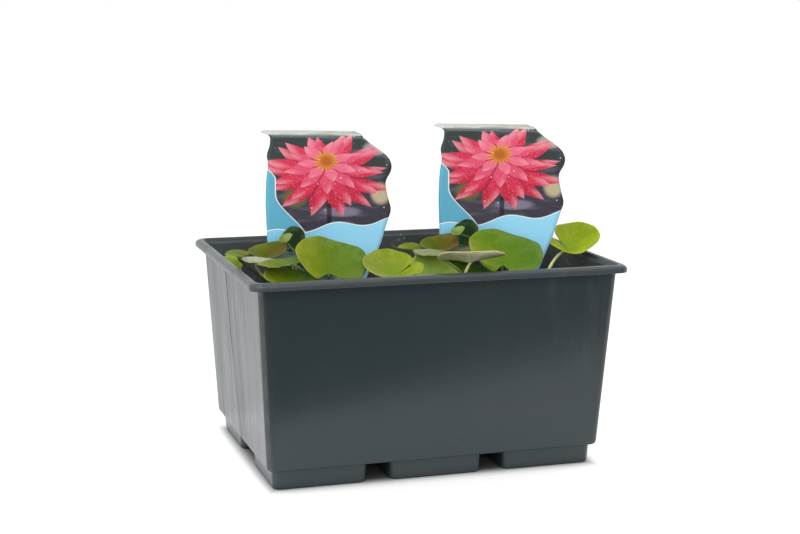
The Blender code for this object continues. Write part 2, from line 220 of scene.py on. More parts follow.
def noise(place, scale, detail=3.0, roughness=0.55, stretch=None):
    if stretch:
        place = nodeValue(addNode(treeOf(place), "ShaderNodeMapping", {"Vector": place, "Scale": stretch}).outputs[0])
    node = addNode(treeOf(place), "ShaderNodeTexNoise",
                   {"Vector": place, "Scale": scale, "Detail": detail, "Roughness": roughness})
    return nodeValue(node.outputs[0])


def spots(place, scale, **settings):
    # distance to the nearest of many scattered points
    node = addNode(treeOf(place), "ShaderNodeTexVoronoi", {"Vector": place, "Scale": scale}, **settings)
    return nodeValue(node.outputs["Distance"])


def split(place):
    return [nodeValue(socket) for socket in addNode(treeOf(place), "ShaderNodeSeparateXYZ", {0: place}).outputs]


def newMaterial(name, **values):
    material = bpy.data.materials.new(name)
    material.use_nodes = True
    shader = material.node_tree.nodes["Principled BSDF"]
    feed(shader, values)
    return material, shader


def objectPlace(shader):
    return nodeValue(addNode(shader.id_data, "ShaderNodeTexCoord").outputs["Object"])


def surfacePlace(shader):
    return nodeValue(addNode(shader.id_data, "ShaderNodeUVMap", uv_map="surface").outputs[0])


def layerColour(shader, name="tint"):
    return nodeValue(addNode(shader.id_data, "ShaderNodeVertexColor", layer_name=name).outputs[0])


def finishMaterial(shader, colour, height, strength, distance, **others):
    # colour and bumps, and what else the shader is fed
    bump = addNode(shader.id_data, "ShaderNodeBump", {"Height": height, "Strength": strength, "Distance": distance})
    feed(shader, {"Base Color": colour, "Normal": nodeValue(bump.outputs[0]), **others})


def makeGroup(name, outputs, **values):
    # a node group that reads a place and named numbers and gives out named numbers
    group = bpy.data.node_groups.new(name, "ShaderNodeTree")
    group.interface.new_socket(name="place", in_out="INPUT", socket_type="NodeSocketVector")
    for label, value in values.items():
        group.interface.new_socket(name=label, in_out="INPUT", socket_type="NodeSocketFloat").default_value = value
    for label in outputs:
        group.interface.new_socket(name=label, in_out="OUTPUT", socket_type="NodeSocketFloat")
    start, end = group.nodes.new("NodeGroupInput"), group.nodes.new("NodeGroupOutput")
    return group, [nodeValue(start.outputs[label]) for label in ("place", *values)], end


def useGroup(group, **inputs):
    node = addNode(treeOf(inputs["place"]), "ShaderNodeGroup", inputs, node_tree=group)
    return {socket.name: nodeValue(socket) for socket in node.outputs}


# specks of dust and dried drops: small rounds about scattered points, in patches; smears: peaks of stretched noise
def makeDustGroup():
    group, (place, speckScale, speckAmount, smearScale), end = makeGroup(
        "dustAndSmears", ("specks", "smears"), speckScale=900.0, speckAmount=0.2, smearScale=14.0)
    edge = rise(noise(place, 22.0, 2.0), 0.45, 0.75) * speckAmount
    smear = noise(place, smearScale, 4.0, 0.6, (1.0, 1.0, 0.25))
    feed(end, dict(specks=spots(place, speckScale) < edge, smears=rise(smear, 0.42, 0.70)))
    return group


# leaf veins: rays from the stem that fork once on the way to the margin, thinning outwards, over a fine net
def makeVeinGroup():
    group, (place, rays, width), end = makeGroup("leafVeins", ("veins", "share"), rays=11.0, width=0.035)
    x, y = [part - 0.5 for part in split(place)[:2]]
    share = calc("SQRT", x * x + y * y) * 2.0
    sway = (noise(place, 6.0, 2.0) - 0.5) * 0.22
    turn = (calc("ARCTAN2", y, x) + sway) * (rays / fullTurn)
    off = abs(calc("FRACT", turn + 100.5) - 0.5)
    off = abs(off - rise(share, 0.45, 1.05) * 0.25)  # the fork
    thin = width * (1.25 - share)
    line = 1.0 - rise(off * (share / rays) * 6.3, thin * 0.25, thin)
    net = (1.0 - rise(spots(place, 42.0, feature="DISTANCE_TO_EDGE"), 0.02, 0.12)) * 0.30
    feed(end, dict(veins=calc("MAXIMUM", line, net), share=share))
    return group


dustGroup = makeDustGroup()
veinGroup = makeVeinGroup()
print("shared node groups made")


# tub

tubLook = dict(
    colour=(0.018, 0.029, 0.033), roughness=0.21, scuff=(0.11, 0.12, 0.125), speck=(0.19, 0.19, 0.18),
    rubbed=(0.075, 0.085, 0.088), film=(0.085, 0.090, 0.088), drop=(0.42, 0.40, 0.36),
    length=400.0, width=300.0, wall=2.2, floor=2.5,
    bodyTop=(190.4, 140.4, 208.9), bodyLow=(179.3, 126.9, 20.6),  # half length, half width and height
    bodyCorner=8.0, rimCorner=12.0, cornerSteps=12,
    # the body's outside, and the rim's outside and inside: how far in, and height
    bodyOutside=((4.2, 20.6), (2.4, 20.9), (1.0, 21.8), (0.25, 23.2), (0.0, 25.0), (0.0, 60.0), (0.0, 110.0),
                 (0.0, 160.0), (0.0, 206.5), (-0.4, 208.3), (-1.6, 209.1)),
    rimOutside=((0.3, 209.4), (0.0, 210.0), (0.0, 213.2), (0.5, 214.5), (1.7, 215.8), (3.3, 216.7), (5.0, 217.1)),
    rimInside=((11.8, 211.0), (10.6, 213.4), (9.0, 215.6), (7.9, 216.8), (6.8, 217.1), (4.0, 219.0)),
    footSpans=((-173.7, -73.0), (-51.0, 51.0), (73.0, 173.7)), footRows=((-121.0, -28.0), (28.0, 121.0)),
    footTaper=0.8, footCorner=8.0, footWall=2.5, footTop=22.0, footSoft=1.5, hollowSoft=1.0, sharpAngle=24,
    # the shallow panel in each end wall: height, front edge, back edge and depth
    panel=((21.6, -50.0, -6.0, 0.24), (44.0, -54.0, 0.0, 0.12), (88.0, -64.0, 11.0, 0.07),
           (132.0, -72.0, 17.5, 0.24), (205.0, -78.0, 22.0, 0.28)))


def makeTubMaterial():
    look = tubLook
    material, shader = newMaterial("tubPlastic", Roughness=look["roughness"])
    place = objectPlace(shader)
    x, y, z = split(place)
    dust = useGroup(dustGroup, place=place, speckScale=520.0, speckAmount=0.16, smearScale=16.0)
    scrape = noise(place, 60.0, 5.0, 0.7, (1.0, 1.0, 0.06))
    streak = rise(scrape, 0.60, 0.80) * rise(noise(place, 7.0, 1.0), 0.50, 0.68)
    colour = blend(streak * 0.16, look["colour"], look["scuff"])
    # scuffs on the front's right part
    patch = rise(x, 0.095, 0.135) * (1.0 - rise(x, 0.155, 0.180)) * (rise(z, 0.085, 0.125) * rise(y, -0.10, -0.12))
    rubs = rise(noise(place, 55.0, 4.0, 0.6, (1.0, 1.0, 0.18)), 0.44, 0.72)
    colour = blend(patch * rubs * 0.20, colour, look["scuff"])
    colour = blend(dust["specks"] * 0.35, colour, look["speck"])
    # the rim is rubbed paler
    outside = [rise(abs(part), edge - 0.0065, edge - 0.0045) for part, edge in ((x, 0.2), (y, 0.15))]
    rim = rise(z, 0.2088, 0.2112) * calc("MAXIMUM", *outside)
    colour = blend(rim * 0.45, colour, look["rubbed"])
    # the inside has a thin dried film with drops
    inner, bottom = [], look["bodyLow"][2]
    for part, top, low in zip((x, y), look["bodyTop"], look["bodyLow"]):
        slope = (top - low) / (look["bodyTop"][2] - bottom)
        inner.append(rise(z * slope + (low - slope * bottom) * mm - abs(part), 0.0008, 0.0014))
    inner = inner[0] * inner[1] * rise(z, 0.0230, 0.0235)
    film = rise(noise(place, 45.0, 4.0, 0.65), 0.4, 0.7)
    colour = blend(inner * (0.25 + film * 0.35), colour, look["film"])
    drops = (spots(place, 170.0) < 0.22) * rise(noise(place, 30.0, 1.0), 0.50, 0.62)
    colour = blend(inner * (drops * 0.40), colour, look["drop"])
    # the end walls are worn less shiny
    worn = 0.06 + rise(noise(place, 75.0, 4.0, 0.65, (1.0, 1.0, 0.07)), 0.40, 0.66) * 0.05
    rough = dust["smears"] * 0.07 + look["roughness"] + streak * 0.10
    rough = rough + rise(abs(x), 0.1700, 0.1775) * worn + inner * 0.16
    height = noise(place, 9.0, 1.0) * 0.9 + noise(place, 1400.0, 2.0) * 0.02
    finishMaterial(shader, colour, height, 0.16, 0.002, Roughness=rough)
    return material


def roundRing(limits, corner, height, steps):
    # four quarter circles of the corner's radius joined into a rounded rectangle, anticlockwise
    x0, x1, y0, y1 = limits
    ring = []
    for cx, cy, start in ((x1 - corner, y0 + corner, -90), (x1 - corner, y1 - corner, 0),
                          (x0 + corner, y1 - corner, 90), (x0 + corner, y0 + corner, 180)):
        angle = np.radians(np.linspace(0, 90, steps + 1)) + math.radians(start)
        ring.append(np.stack([cx + corner * np.cos(angle), cy + corner * np.sin(angle), np.full(steps + 1, height)], 1))
    return np.concatenate(ring)


def closedLoft(name, lofts, materials):
    # walls between rings of equal length with a flat face at each end; several lofts make one mesh
    points, faces, caps, base = [], [], [], 0
    for rings in lofts:
        rings = np.array(rings)
        rows, columns = rings.shape[:2]
        points.append(rings.reshape(-1, 3))
        faces.append(gridFaces(rows, columns, aroundColumns=True) + base)
        first = base + np.arange(columns)
        caps += [[first[::-1]], [first + (rows - 1) * columns]]
        base += rows * columns
    return makePiece(name, np.concatenate(points), faces + caps, materials, 0)


def tubBodyRing(inset, height):
    look = tubLook
    share = (height - look["bodyLow"][2]) / (look["bodyTop"][2] - look["bodyLow"][2])
    halfX, halfY = [low + (top - low) * share - inset for top, low in zip(look["bodyTop"][:2], look["bodyLow"])]
    return roundRing((-halfX, halfX, -halfY, halfY), look["bodyCorner"] - inset * 0.7, height, look["cornerSteps"])


def tubRimRing(inset, height):
    look = tubLook
    halfX, halfY = look["length"] / 2 - inset, look["width"] / 2 - inset
    return roundRing((-halfX, halfX, -halfY, halfY), look["rimCorner"] - inset * 0.5, height, look["cornerSteps"])


def footRings(span, row, inset, low, high, soft):
    # a foot narrows evenly downwards, and its bottom edge is rounded by soft
    rings = []
    for height, edge in ((low, 1.0 + soft), (low + 0.5 * soft, 0.35 * soft + 0.6),
                         (low + 1.6 * soft, 0.4), (high, 0.0)):
        shrink = inset + tubLook["footTaper"] * (1 - (height - low) / (high - low)) + edge
        rings.append(roundRing((span[0] + shrink, span[1] - shrink, row[0] + shrink, row[1] - shrink),
                               tubLook["footCorner"] - inset * 0.8, height, 6))
    return rings


def applyCut(piece, cutter, operation):
    modifier = piece.modifiers.new("cut", "BOOLEAN")
    modifier.operation = operation
    modifier.solver = "EXACT"
    modifier.object = cutter
    bpy.context.view_layer.update()
    mesh = bpy.data.meshes.new_from_object(piece.evaluated_get(bpy.context.evaluated_depsgraph_get()))
    piece.modifiers.clear()
    piece.data = mesh
    bpy.data.objects.remove(cutter)


def buildTub():
    look = tubLook
    material = makeTubMaterial()
    floor = look["bodyLow"][2] + look["floor"]
    outside = [tubBodyRing(*ring) for ring in look["bodyOutside"]]
    outside += [tubRimRing(*ring) for ring in look["rimOutside"]]
    inside = [tubBodyRing(look["wall"] + more, height) for more, height in
              ((3.0, floor), (1.0, floor + 0.8), (0.0, floor + 3.0), (0.0, 120.0), (0.0, 208.5))]
    inside += [tubRimRing(*ring) for ring in look["rimInside"]]
    feet = [(span, row) for span in look["footSpans"] for row in look["footRows"]]
    recess = []
    for side in (-1, 1):
        rings = []
        for height, front, back, depth in look["panel"]:
            wall = tubBodyRing(0.0, height)[:, 0].max()
            near, far = sorted((side * (wall - depth), side * (wall + 6.0)))
            rings.append([(near, front, height), (far, front, height), (far, back, height), (near, back, height)])
        recess.append(rings)
    tub = closedLoft("lilyTub", [outside], [material])
    thick = look["footWall"]
    for label, operation, lofts in (
            ("feet", "UNION", [footRings(*foot, 0.0, 0.0, look["footTop"], look["footSoft"]) for foot in feet]),
            ("hollow", "DIFFERENCE", [inside]),
            ("pockets", "DIFFERENCE", [footRings(*foot, thick, thick, floor + 1.5, look["hollowSoft"]) for foot in feet]),
            ("recess", "DIFFERENCE", recess)):
        applyCut(tub, closedLoft(label, lofts, []), operation)
    tub.data.materials.clear()
    tub.data.materials.append(material)
    tub.data.polygons.foreach_set("material_index", np.zeros(len(tub.data.polygons), np.int32))
    tub.data.shade_smooth()
    tub.data.set_sharp_from_angle(angle=math.radians(look["sharpAngle"]))
    flat = tub.modifiers.new("flatNormals", "WEIGHTED_NORMAL")  # so that small round edges don't shade the big faces
    flat.keep_sharp = True
    fitPiece(tub, "tub_plastic", "tub")
    print("tub built:", len(tub.data.polygons), "faces")


buildTub()


# pond baskets

basketLook = dict(
    colour=(0.012, 0.012, 0.013), roughness=0.42, smear=(0.060, 0.048, 0.034), speck=(0.11, 0.09, 0.06),
    centres=dict(left=-88.0, right=88.0), base=23.4, top=150.0, low=118.0, height=109.6,
    wall=1.6, flange=4.0, skirt=6.0, corner=12.0, bars=22, rows=14, barWidth=1.8, lipPoints=96,
    floorBars=13, floorBarHalf=1.6, floorEdge=8.0,
    # the lip's section: how far in from the outside, and height from the top
    lip=((3.8, -6.0), (0.6, -6.0), (0.0, -5.4), (0.0, -0.8), (0.6, 0.0), (4.8, 0.0), (5.4, -0.6),
         (5.4, -5.0), (3.8, -5.6)))


def makeBasketMaterial():
    look = basketLook
    material, shader = newMaterial("basketPlastic", Roughness=look["roughness"])
    place = objectPlace(shader)
    dust = useGroup(dustGroup, place=place, speckScale=700.0, speckAmount=0.30, smearScale=30.0)
    colour = blend(dust["smears"] * 0.30, look["colour"], look["smear"])
    finishMaterial(shader, blend(dust["specks"] * 0.5, colour, look["speck"]), noise(place, 800.0, 2.0), 0.12, 0.0005)
    return material


def squarePath(half, corner, count):
    # count points spread evenly along a rounded square, side after side: a straight run, then a quarter circle
    straight, arc = 2 * (half - corner), math.pi / 2 * corner
    s = np.linspace(0, 4 * (straight + arc), count, endpoint=False)
    turn, along = s // (straight + arc) * math.pi / 2, s % (straight + arc)
    onArc = np.clip((along - straight) / arc, 0, 1) * math.pi / 2
    x = np.minimum(along, straight) - straight / 2 + corner * np.sin(onArc)
    y = -half + corner * (1 - np.cos(onArc))
    return np.stack([x * np.cos(turn) - y * np.sin(turn), x * np.sin(turn) + y * np.cos(turn)], 1)


def buildBasket(side, material):
    look = basketLook
    centre = np.array([look["centres"][side], 0, 0])
    # wall: every other column between two bars is open, on every row between two hoops
    count = look["bars"] * 8
    heights = np.linspace(9.0, look["height"] - look["skirt"] - 3.0, look["rows"] + 1)
    levels = np.sort(np.r_[0.0, heights - look["barWidth"] / 2, heights + look["barWidth"] / 2, look["height"]])
    rings = []
    for level in levels:
        half = (look["low"] + (look["top"] - 2 * look["flange"] - look["low"]) * level / look["height"]) / 2
        rings.append(np.c_[squarePath(half, look["corner"], count), np.full(count, look["base"] + level)])
    faces = gridFaces(len(levels), count, aroundColumns=True).reshape(len(levels) - 1, count, 4)
    keep = np.ones(faces.shape[:2], bool)
    keep[2:-2:2, ::2] = False
    wall = makePiece("pondBasket_" + side, np.concatenate(rings) + centre, [faces[keep]], [material], 30)
    addThickness(wall, look["wall"], 0, -1.0)
    # rolled lip: a rounded band that hangs over the wall's top
    lip, count = [], look["lipPoints"]
    for inset, height in look["lip"]:
        ring = squarePath(look["top"] / 2 - inset, look["corner"] + 3 - inset * 0.7, count)
        lip.append(np.c_[ring, np.full(count, look["base"] + look["height"] + height)])
    lip = makePiece("pondBasketLip_" + side, np.concatenate(lip) + centre,
                    [gridFaces(len(lip), count, aroundRows=True, aroundColumns=True)], [material], 35)
    # floor: two rows of bars across one another
    bars, half = [], look["low"] / 2
    wide = look["floorBarHalf"]
    for k in np.linspace(look["floorEdge"] - half, half - look["floorEdge"], look["floorBars"]):
        long = half - 1.5 - (3.0 if abs(k) > half - 14 else 0.0)  # the outer bars stop before the rounded corners
        for x0, x1, y0, y1, low, high in ((k - wide, k + wide, -long, long, 0.1, 1.4),
                                          (-long, long, k - wide, k + wide, 0.05, 1.5)):
            bars.append([np.array([(x0, y0, z), (x1, y0, z), (x1, y1, z), (x0, y1, z)]) + centre
                         for z in (look["base"] + low, look["base"] + high)])
    fitPiece(wall, "basket_plastic", "basket_" + side)
    fitPiece(lip, "basket_plastic")
    fitPiece(closedLoft("pondBasketFloor_" + side, bars, [material]), "basket_plastic")


basketMaterial = makeBasketMaterial()
for side in ("left", "right"):
    buildBasket(side, basketMaterial)
print("baskets built")


# soil with grit

soilLook = dict(
    dark=(0.022, 0.015, 0.010), light=(0.085, 0.058, 0.036), fibre=(0.16, 0.11, 0.06),
    top=125.0, half=66.5, lowHalf=57.0, base=25.4, grid=72, sink=1.2, lump=1.1, edgeDrop=1.6, skirts=4,
    stones=520, stoneSize=(1.1, 3.6), stoneGrid=(5, 8), stoneEdge=5, crownGap=11.5, seed=11,
    stoneDirt=(0.07, 0.055, 0.04), stoneColours=("8d8579", "a39c90", "6f685f", "b8b1a4", "7c6f5e", "98846a"))


def makeSoilMaterial():
    look = soilLook
    material, shader = newMaterial("pondSoil", Roughness=0.92)
    place = objectPlace(shader)
    clod = noise(place, 90.0, 6.0, 0.7)
    fibre = rise(noise(place, 260.0, 2.0, 0.5, (1.0, 0.12, 0.3)), 0.66, 0.74)
    colour = blend(rise(clod, 0.35, 0.65), look["dark"], look["light"])
    height = clod + noise(place, 420.0, 4.0, 0.65) * 0.5
    finishMaterial(shader, blend(fibre * 0.6, colour, look["fibre"]), height, 0.8, 0.002)
    return material


def makeStoneMaterial():
    material, shader = newMaterial("gritStone", Roughness=0.75)
    tint = layerColour(shader)
    mottle = noise(objectPlace(shader), 900.0, 3.0)
    dirty = blend(rise(mottle, 0.35, 0.7), tint, soilLook["stoneDirt"])
    finishMaterial(shader, blend(0.65, dirty, tint), mottle, 0.4, 0.0004)
    return material


def lumpy(x, y, seed):
    # a sum of a few sine waves in random directions, as gentle lumps of height 1
    rng = np.random.default_rng(seed)
    total = np.zeros_like(x)
    for _ in range(9):
        angle, wave, shift = rng.uniform(0, fullTurn), rng.uniform(9, 38), rng.uniform(0, 6.28)
        total += np.sin((x * math.cos(angle) + y * math.sin(angle)) * fullTurn / wave + shift) / 5
    return total


def buildSoil(side, soilMaterial, stoneMaterial):
    look = soilLook
    centre = basketLook["centres"][side]
    half, n, seed = look["half"], look["grid"], look["seed"] + (side == "left")
    a, b = np.meshgrid(np.linspace(-1, 1, n), np.linspace(-1, 1, n), indexing="ij")
    squash = np.sqrt(np.maximum(1 - 0.10 * (a * b) ** 4, 0))
    x, y = a * half * squash, b * half * squash
    edge = smooth(0.80, 1.0, np.maximum(abs(a), abs(b)))
    z = look["top"] - look["sink"] + look["lump"] * lumpy(x, y, seed) - look["edgeDrop"] * edge
    points = [np.stack([x + centre, y, np.minimum(z, look["top"] + 1.0)], -1).reshape(-1, 3)]
    faces = [gridFaces(n, n)]
    # skirt: the rim is carried down and inwards step by step, and closed below
    upper = np.r_[np.arange(n) * n, (n - 1) * n + np.arange(1, n),
                  np.arange(n - 2, -1, -1) * n + n - 1, np.arange(n - 2, 0, -1)]
    rim = points[0][upper]
    for k in range(look["skirts"]):
        share = (k + 1) / look["skirts"]
        shrink = 1 - share * (1 - look["lowHalf"] / half)
        points.append(np.stack([centre + (rim[:, 0] - centre) * shrink, rim[:, 1] * shrink,
                                rim[:, 2] + (look["base"] - rim[:, 2]) * share], 1))
        lower = n * n + k * len(rim) + np.arange(len(rim))
        faces.append(np.stack([np.roll(lower, -1), lower, upper, np.roll(upper, -1)], 1))
        upper = lower
    piece = makePiece("pondSoil_" + side, np.concatenate(points), [*faces, [upper]], [soilMaterial], 180)
    fitPiece(piece, "pond_soil", "soil_" + side)
    # grit: squashed round stones with random size, turn and lumps, lying on the soil
    rng = np.random.default_rng(seed + 5)
    count, (small, large) = look["stones"], look["stoneSize"]
    ball, ballFaces = roundBall(*look["stoneGrid"])
    size = small + (large - small) * rng.random(count) ** 2
    shape = rng.uniform(0.7, 1.15, (count, 1, 3)) * (1, 1, 0.7)
    bumps = 1 + 0.16 * rng.standard_normal((count, len(ball), 1)).clip(-1.2, 1.2)
    x, y, z = np.moveaxis(ball[None] * shape * size[:, None, None] * bumps, 2, 0)
    spin = rng.uniform(0, 6.28, count)[:, None]
    stones = np.stack([x * np.cos(spin) - y * np.sin(spin), x * np.sin(spin) + y * np.cos(spin), z], -1)
    px, py = rng.uniform(-half + look["stoneEdge"], half - look["stoneEdge"], (2, count))
    level = look["top"] - look["sink"] + look["lump"] * lumpy(px, py, seed) - 0.15 * size
    stones += np.stack([px + centre, py, level], 1)[:, None]
    crownX, crownY = crownLook["centres"][side]
    stones = stones[np.hypot(px + centre - crownX, py - crownY) > look["crownGap"]]
    total, each = len(stones), len(ball)
    shift = (np.arange(total) * each)[:, None, None]
    palette = np.array([hexColour(code) for code in look["stoneColours"]])
    tint = np.repeat(palette[rng.integers(0, len(palette), total)] * rng.uniform(0.55, 0.95, (total, 1)), each, 0)
    faces = [(group[None] + shift).reshape(-1, group.shape[1]) for group in ballFaces]
    fitPiece(makePiece("grit_" + side, stones.reshape(-1, 3), faces, [stoneMaterial], 50, tint=tint), "pond_soil")


# crowns: the growing points, with old leaf scars, buds and roots

crownLook = dict(
    centres=dict(left=(-98.0, -18.0), right=(80.0, -44.0)), radius=8.4, height=11.0, ground=125.2, grid=(34, 60),
    scars=26, scarTurn=2.399963, scarSize=0.26, fit=0.94, colour=(0.085, 0.060, 0.030), crevice=(0.03, 0.022, 0.012),
    buds=4, budPoints=12, budSides=10, budRing=4.2, budFoot=7.4, budLow="9a6a4a", budTip="a8b85a",
    roots=22, rootPoints=16, rootSides=6, rootStart=6.5, rootColour="c9b98e", rootShade=0.75)


def makeCrownMaterial():
    material, shader = newMaterial("crownSkin", Roughness=0.8)
    rough = noise(objectPlace(shader), 600.0, 5.0, 0.7)
    colour = blend(rise(rough, 0.3, 0.75), layerColour(shader), crownLook["crevice"])
    finishMaterial(shader, colour, rough, 0.6, 0.0008)
    return material


def addTubes(name, path, radius, sides, colour, material):
    # colour has a row for each point along a tube
    points, faces = tubeParts(path, radius[None], sides)
    tint = np.tile(np.repeat(colour, sides, 0), (len(path), 1))
    fitPiece(makePiece(name, points, faces, [material], 180, tint=tint), "crown_skin")


def buildCrown(side, material):
    look = crownLook
    cx, cy = look["centres"][side]
    rng = np.random.default_rng(3 + (side == "left"))
    # a ball that swells round each scar and dips in it; the scars wind down it in a spiral
    out, faces = roundBall(*look["grid"])
    k = np.arange(look["scars"])
    polar, around = np.arccos(1 - 1.5 * (k + 0.5) / look["scars"]), k * look["scarTurn"]
    scar = np.stack([np.sin(polar) * np.cos(around), np.sin(polar) * np.sin(around), np.cos(polar)], 1)
    near = np.arccos(np.clip(out @ scar.T, -1, 1)).min(1)
    swell = 1 - 0.02 + 0.07 * np.cos(np.clip(near / look["scarSize"], 0, 1) * math.pi) - 0.05 * smooth(0.10, 0.0, near)
    radius, halfHeight = look["radius"] * look["fit"], look["height"] / 2 * look["fit"]
    points = out * swell[:, None] * (radius, radius, halfHeight)
    points += (cx, cy, look["ground"] + look["height"] / 2 - 0.2)
    tint = np.array(look["colour"]) * (0.65 + 0.9 * smooth(0.05, 0.22, near))[:, None]
    piece = makePiece("rootCrown_" + side, points, faces, [material], 180, tint=tint)
    fitPiece(piece, "crown_skin", "crown_" + side)
    # buds: rolled young leaves, thick below and pointed above
    s, count = np.linspace(0, 1, look["budPoints"]), look["buds"]
    angle = rng.uniform(0, 6.28, count)
    ring = np.stack([np.cos(angle), np.sin(angle)], 1)
    foot = np.c_[(cx, cy) + look["budRing"] * ring, np.full(count, look["ground"] + look["budFoot"])]
    lean = np.c_[ring * 3.2, rng.uniform(9, 17, count)]
    path = foot[:, None] + lean[:, None] * s[None, :, None]
    path[:, :, 0] += 1.2 * np.sin(s * 3)[None]
    colour = hexColour(look["budLow"]) * (1 - s[:, None]) + hexColour(look["budTip"]) * s[:, None]
    thick = 1.5 * np.sin(math.pi * (0.18 + 0.80 * s)) + 0.12
    addTubes("leafBuds_" + side, path, thick, look["budSides"], colour, material)
    # roots: thin cords that run out over the soil and dip into it
    s, count = np.linspace(0, 1, look["rootPoints"]), look["roots"]
    angle = np.sort(rng.uniform(0, 6.28, count))
    reach = rng.uniform(9, 26, count)[:, None] * s + look["rootStart"]
    bend = angle[:, None] + rng.normal(0, 0.35, count)[:, None] * s ** 2
    height = look["ground"] + 3.2 * (1 - s) ** 2 + 0.6 * np.sin(s * 9)[None] * s * (1 - s) - 1.7 * s ** 2
    path = np.stack([cx + reach * np.cos(bend), cy + reach * np.sin(bend), np.broadcast_to(height, reach.shape)], -1)
    colour = np.tile(hexColour(look["rootColour"]) * look["rootShade"], (len(s), 1))
    addTubes("rootCords_" + side, path, 0.62 - 0.38 * s, look["rootSides"], colour, material)


soilMaterial, stoneMaterial, crownMaterial = makeSoilMaterial(), makeStoneMaterial(), makeCrownMaterial()
for side in ("left", "right"):
    buildSoil(side, soilMaterial, stoneMaterial)
    buildCrown(side, crownMaterial)
print("soil, grit and crowns built")


# leaves

leafLook = dict(
    thickness=0.7, rings=16, sectors=84, veinCount=11, veinRise=0.16, wobble=0.006, notchRound=0.16,
    darker=(0.55, 0.72, 0.50), lighter=(1.45, 1.25, 1.10), patch="9aa474", speckle="b8902c",
    glow=0.55, glowDepth=(0.0014, 0.0018, 0.0006), underRougher=0.14)

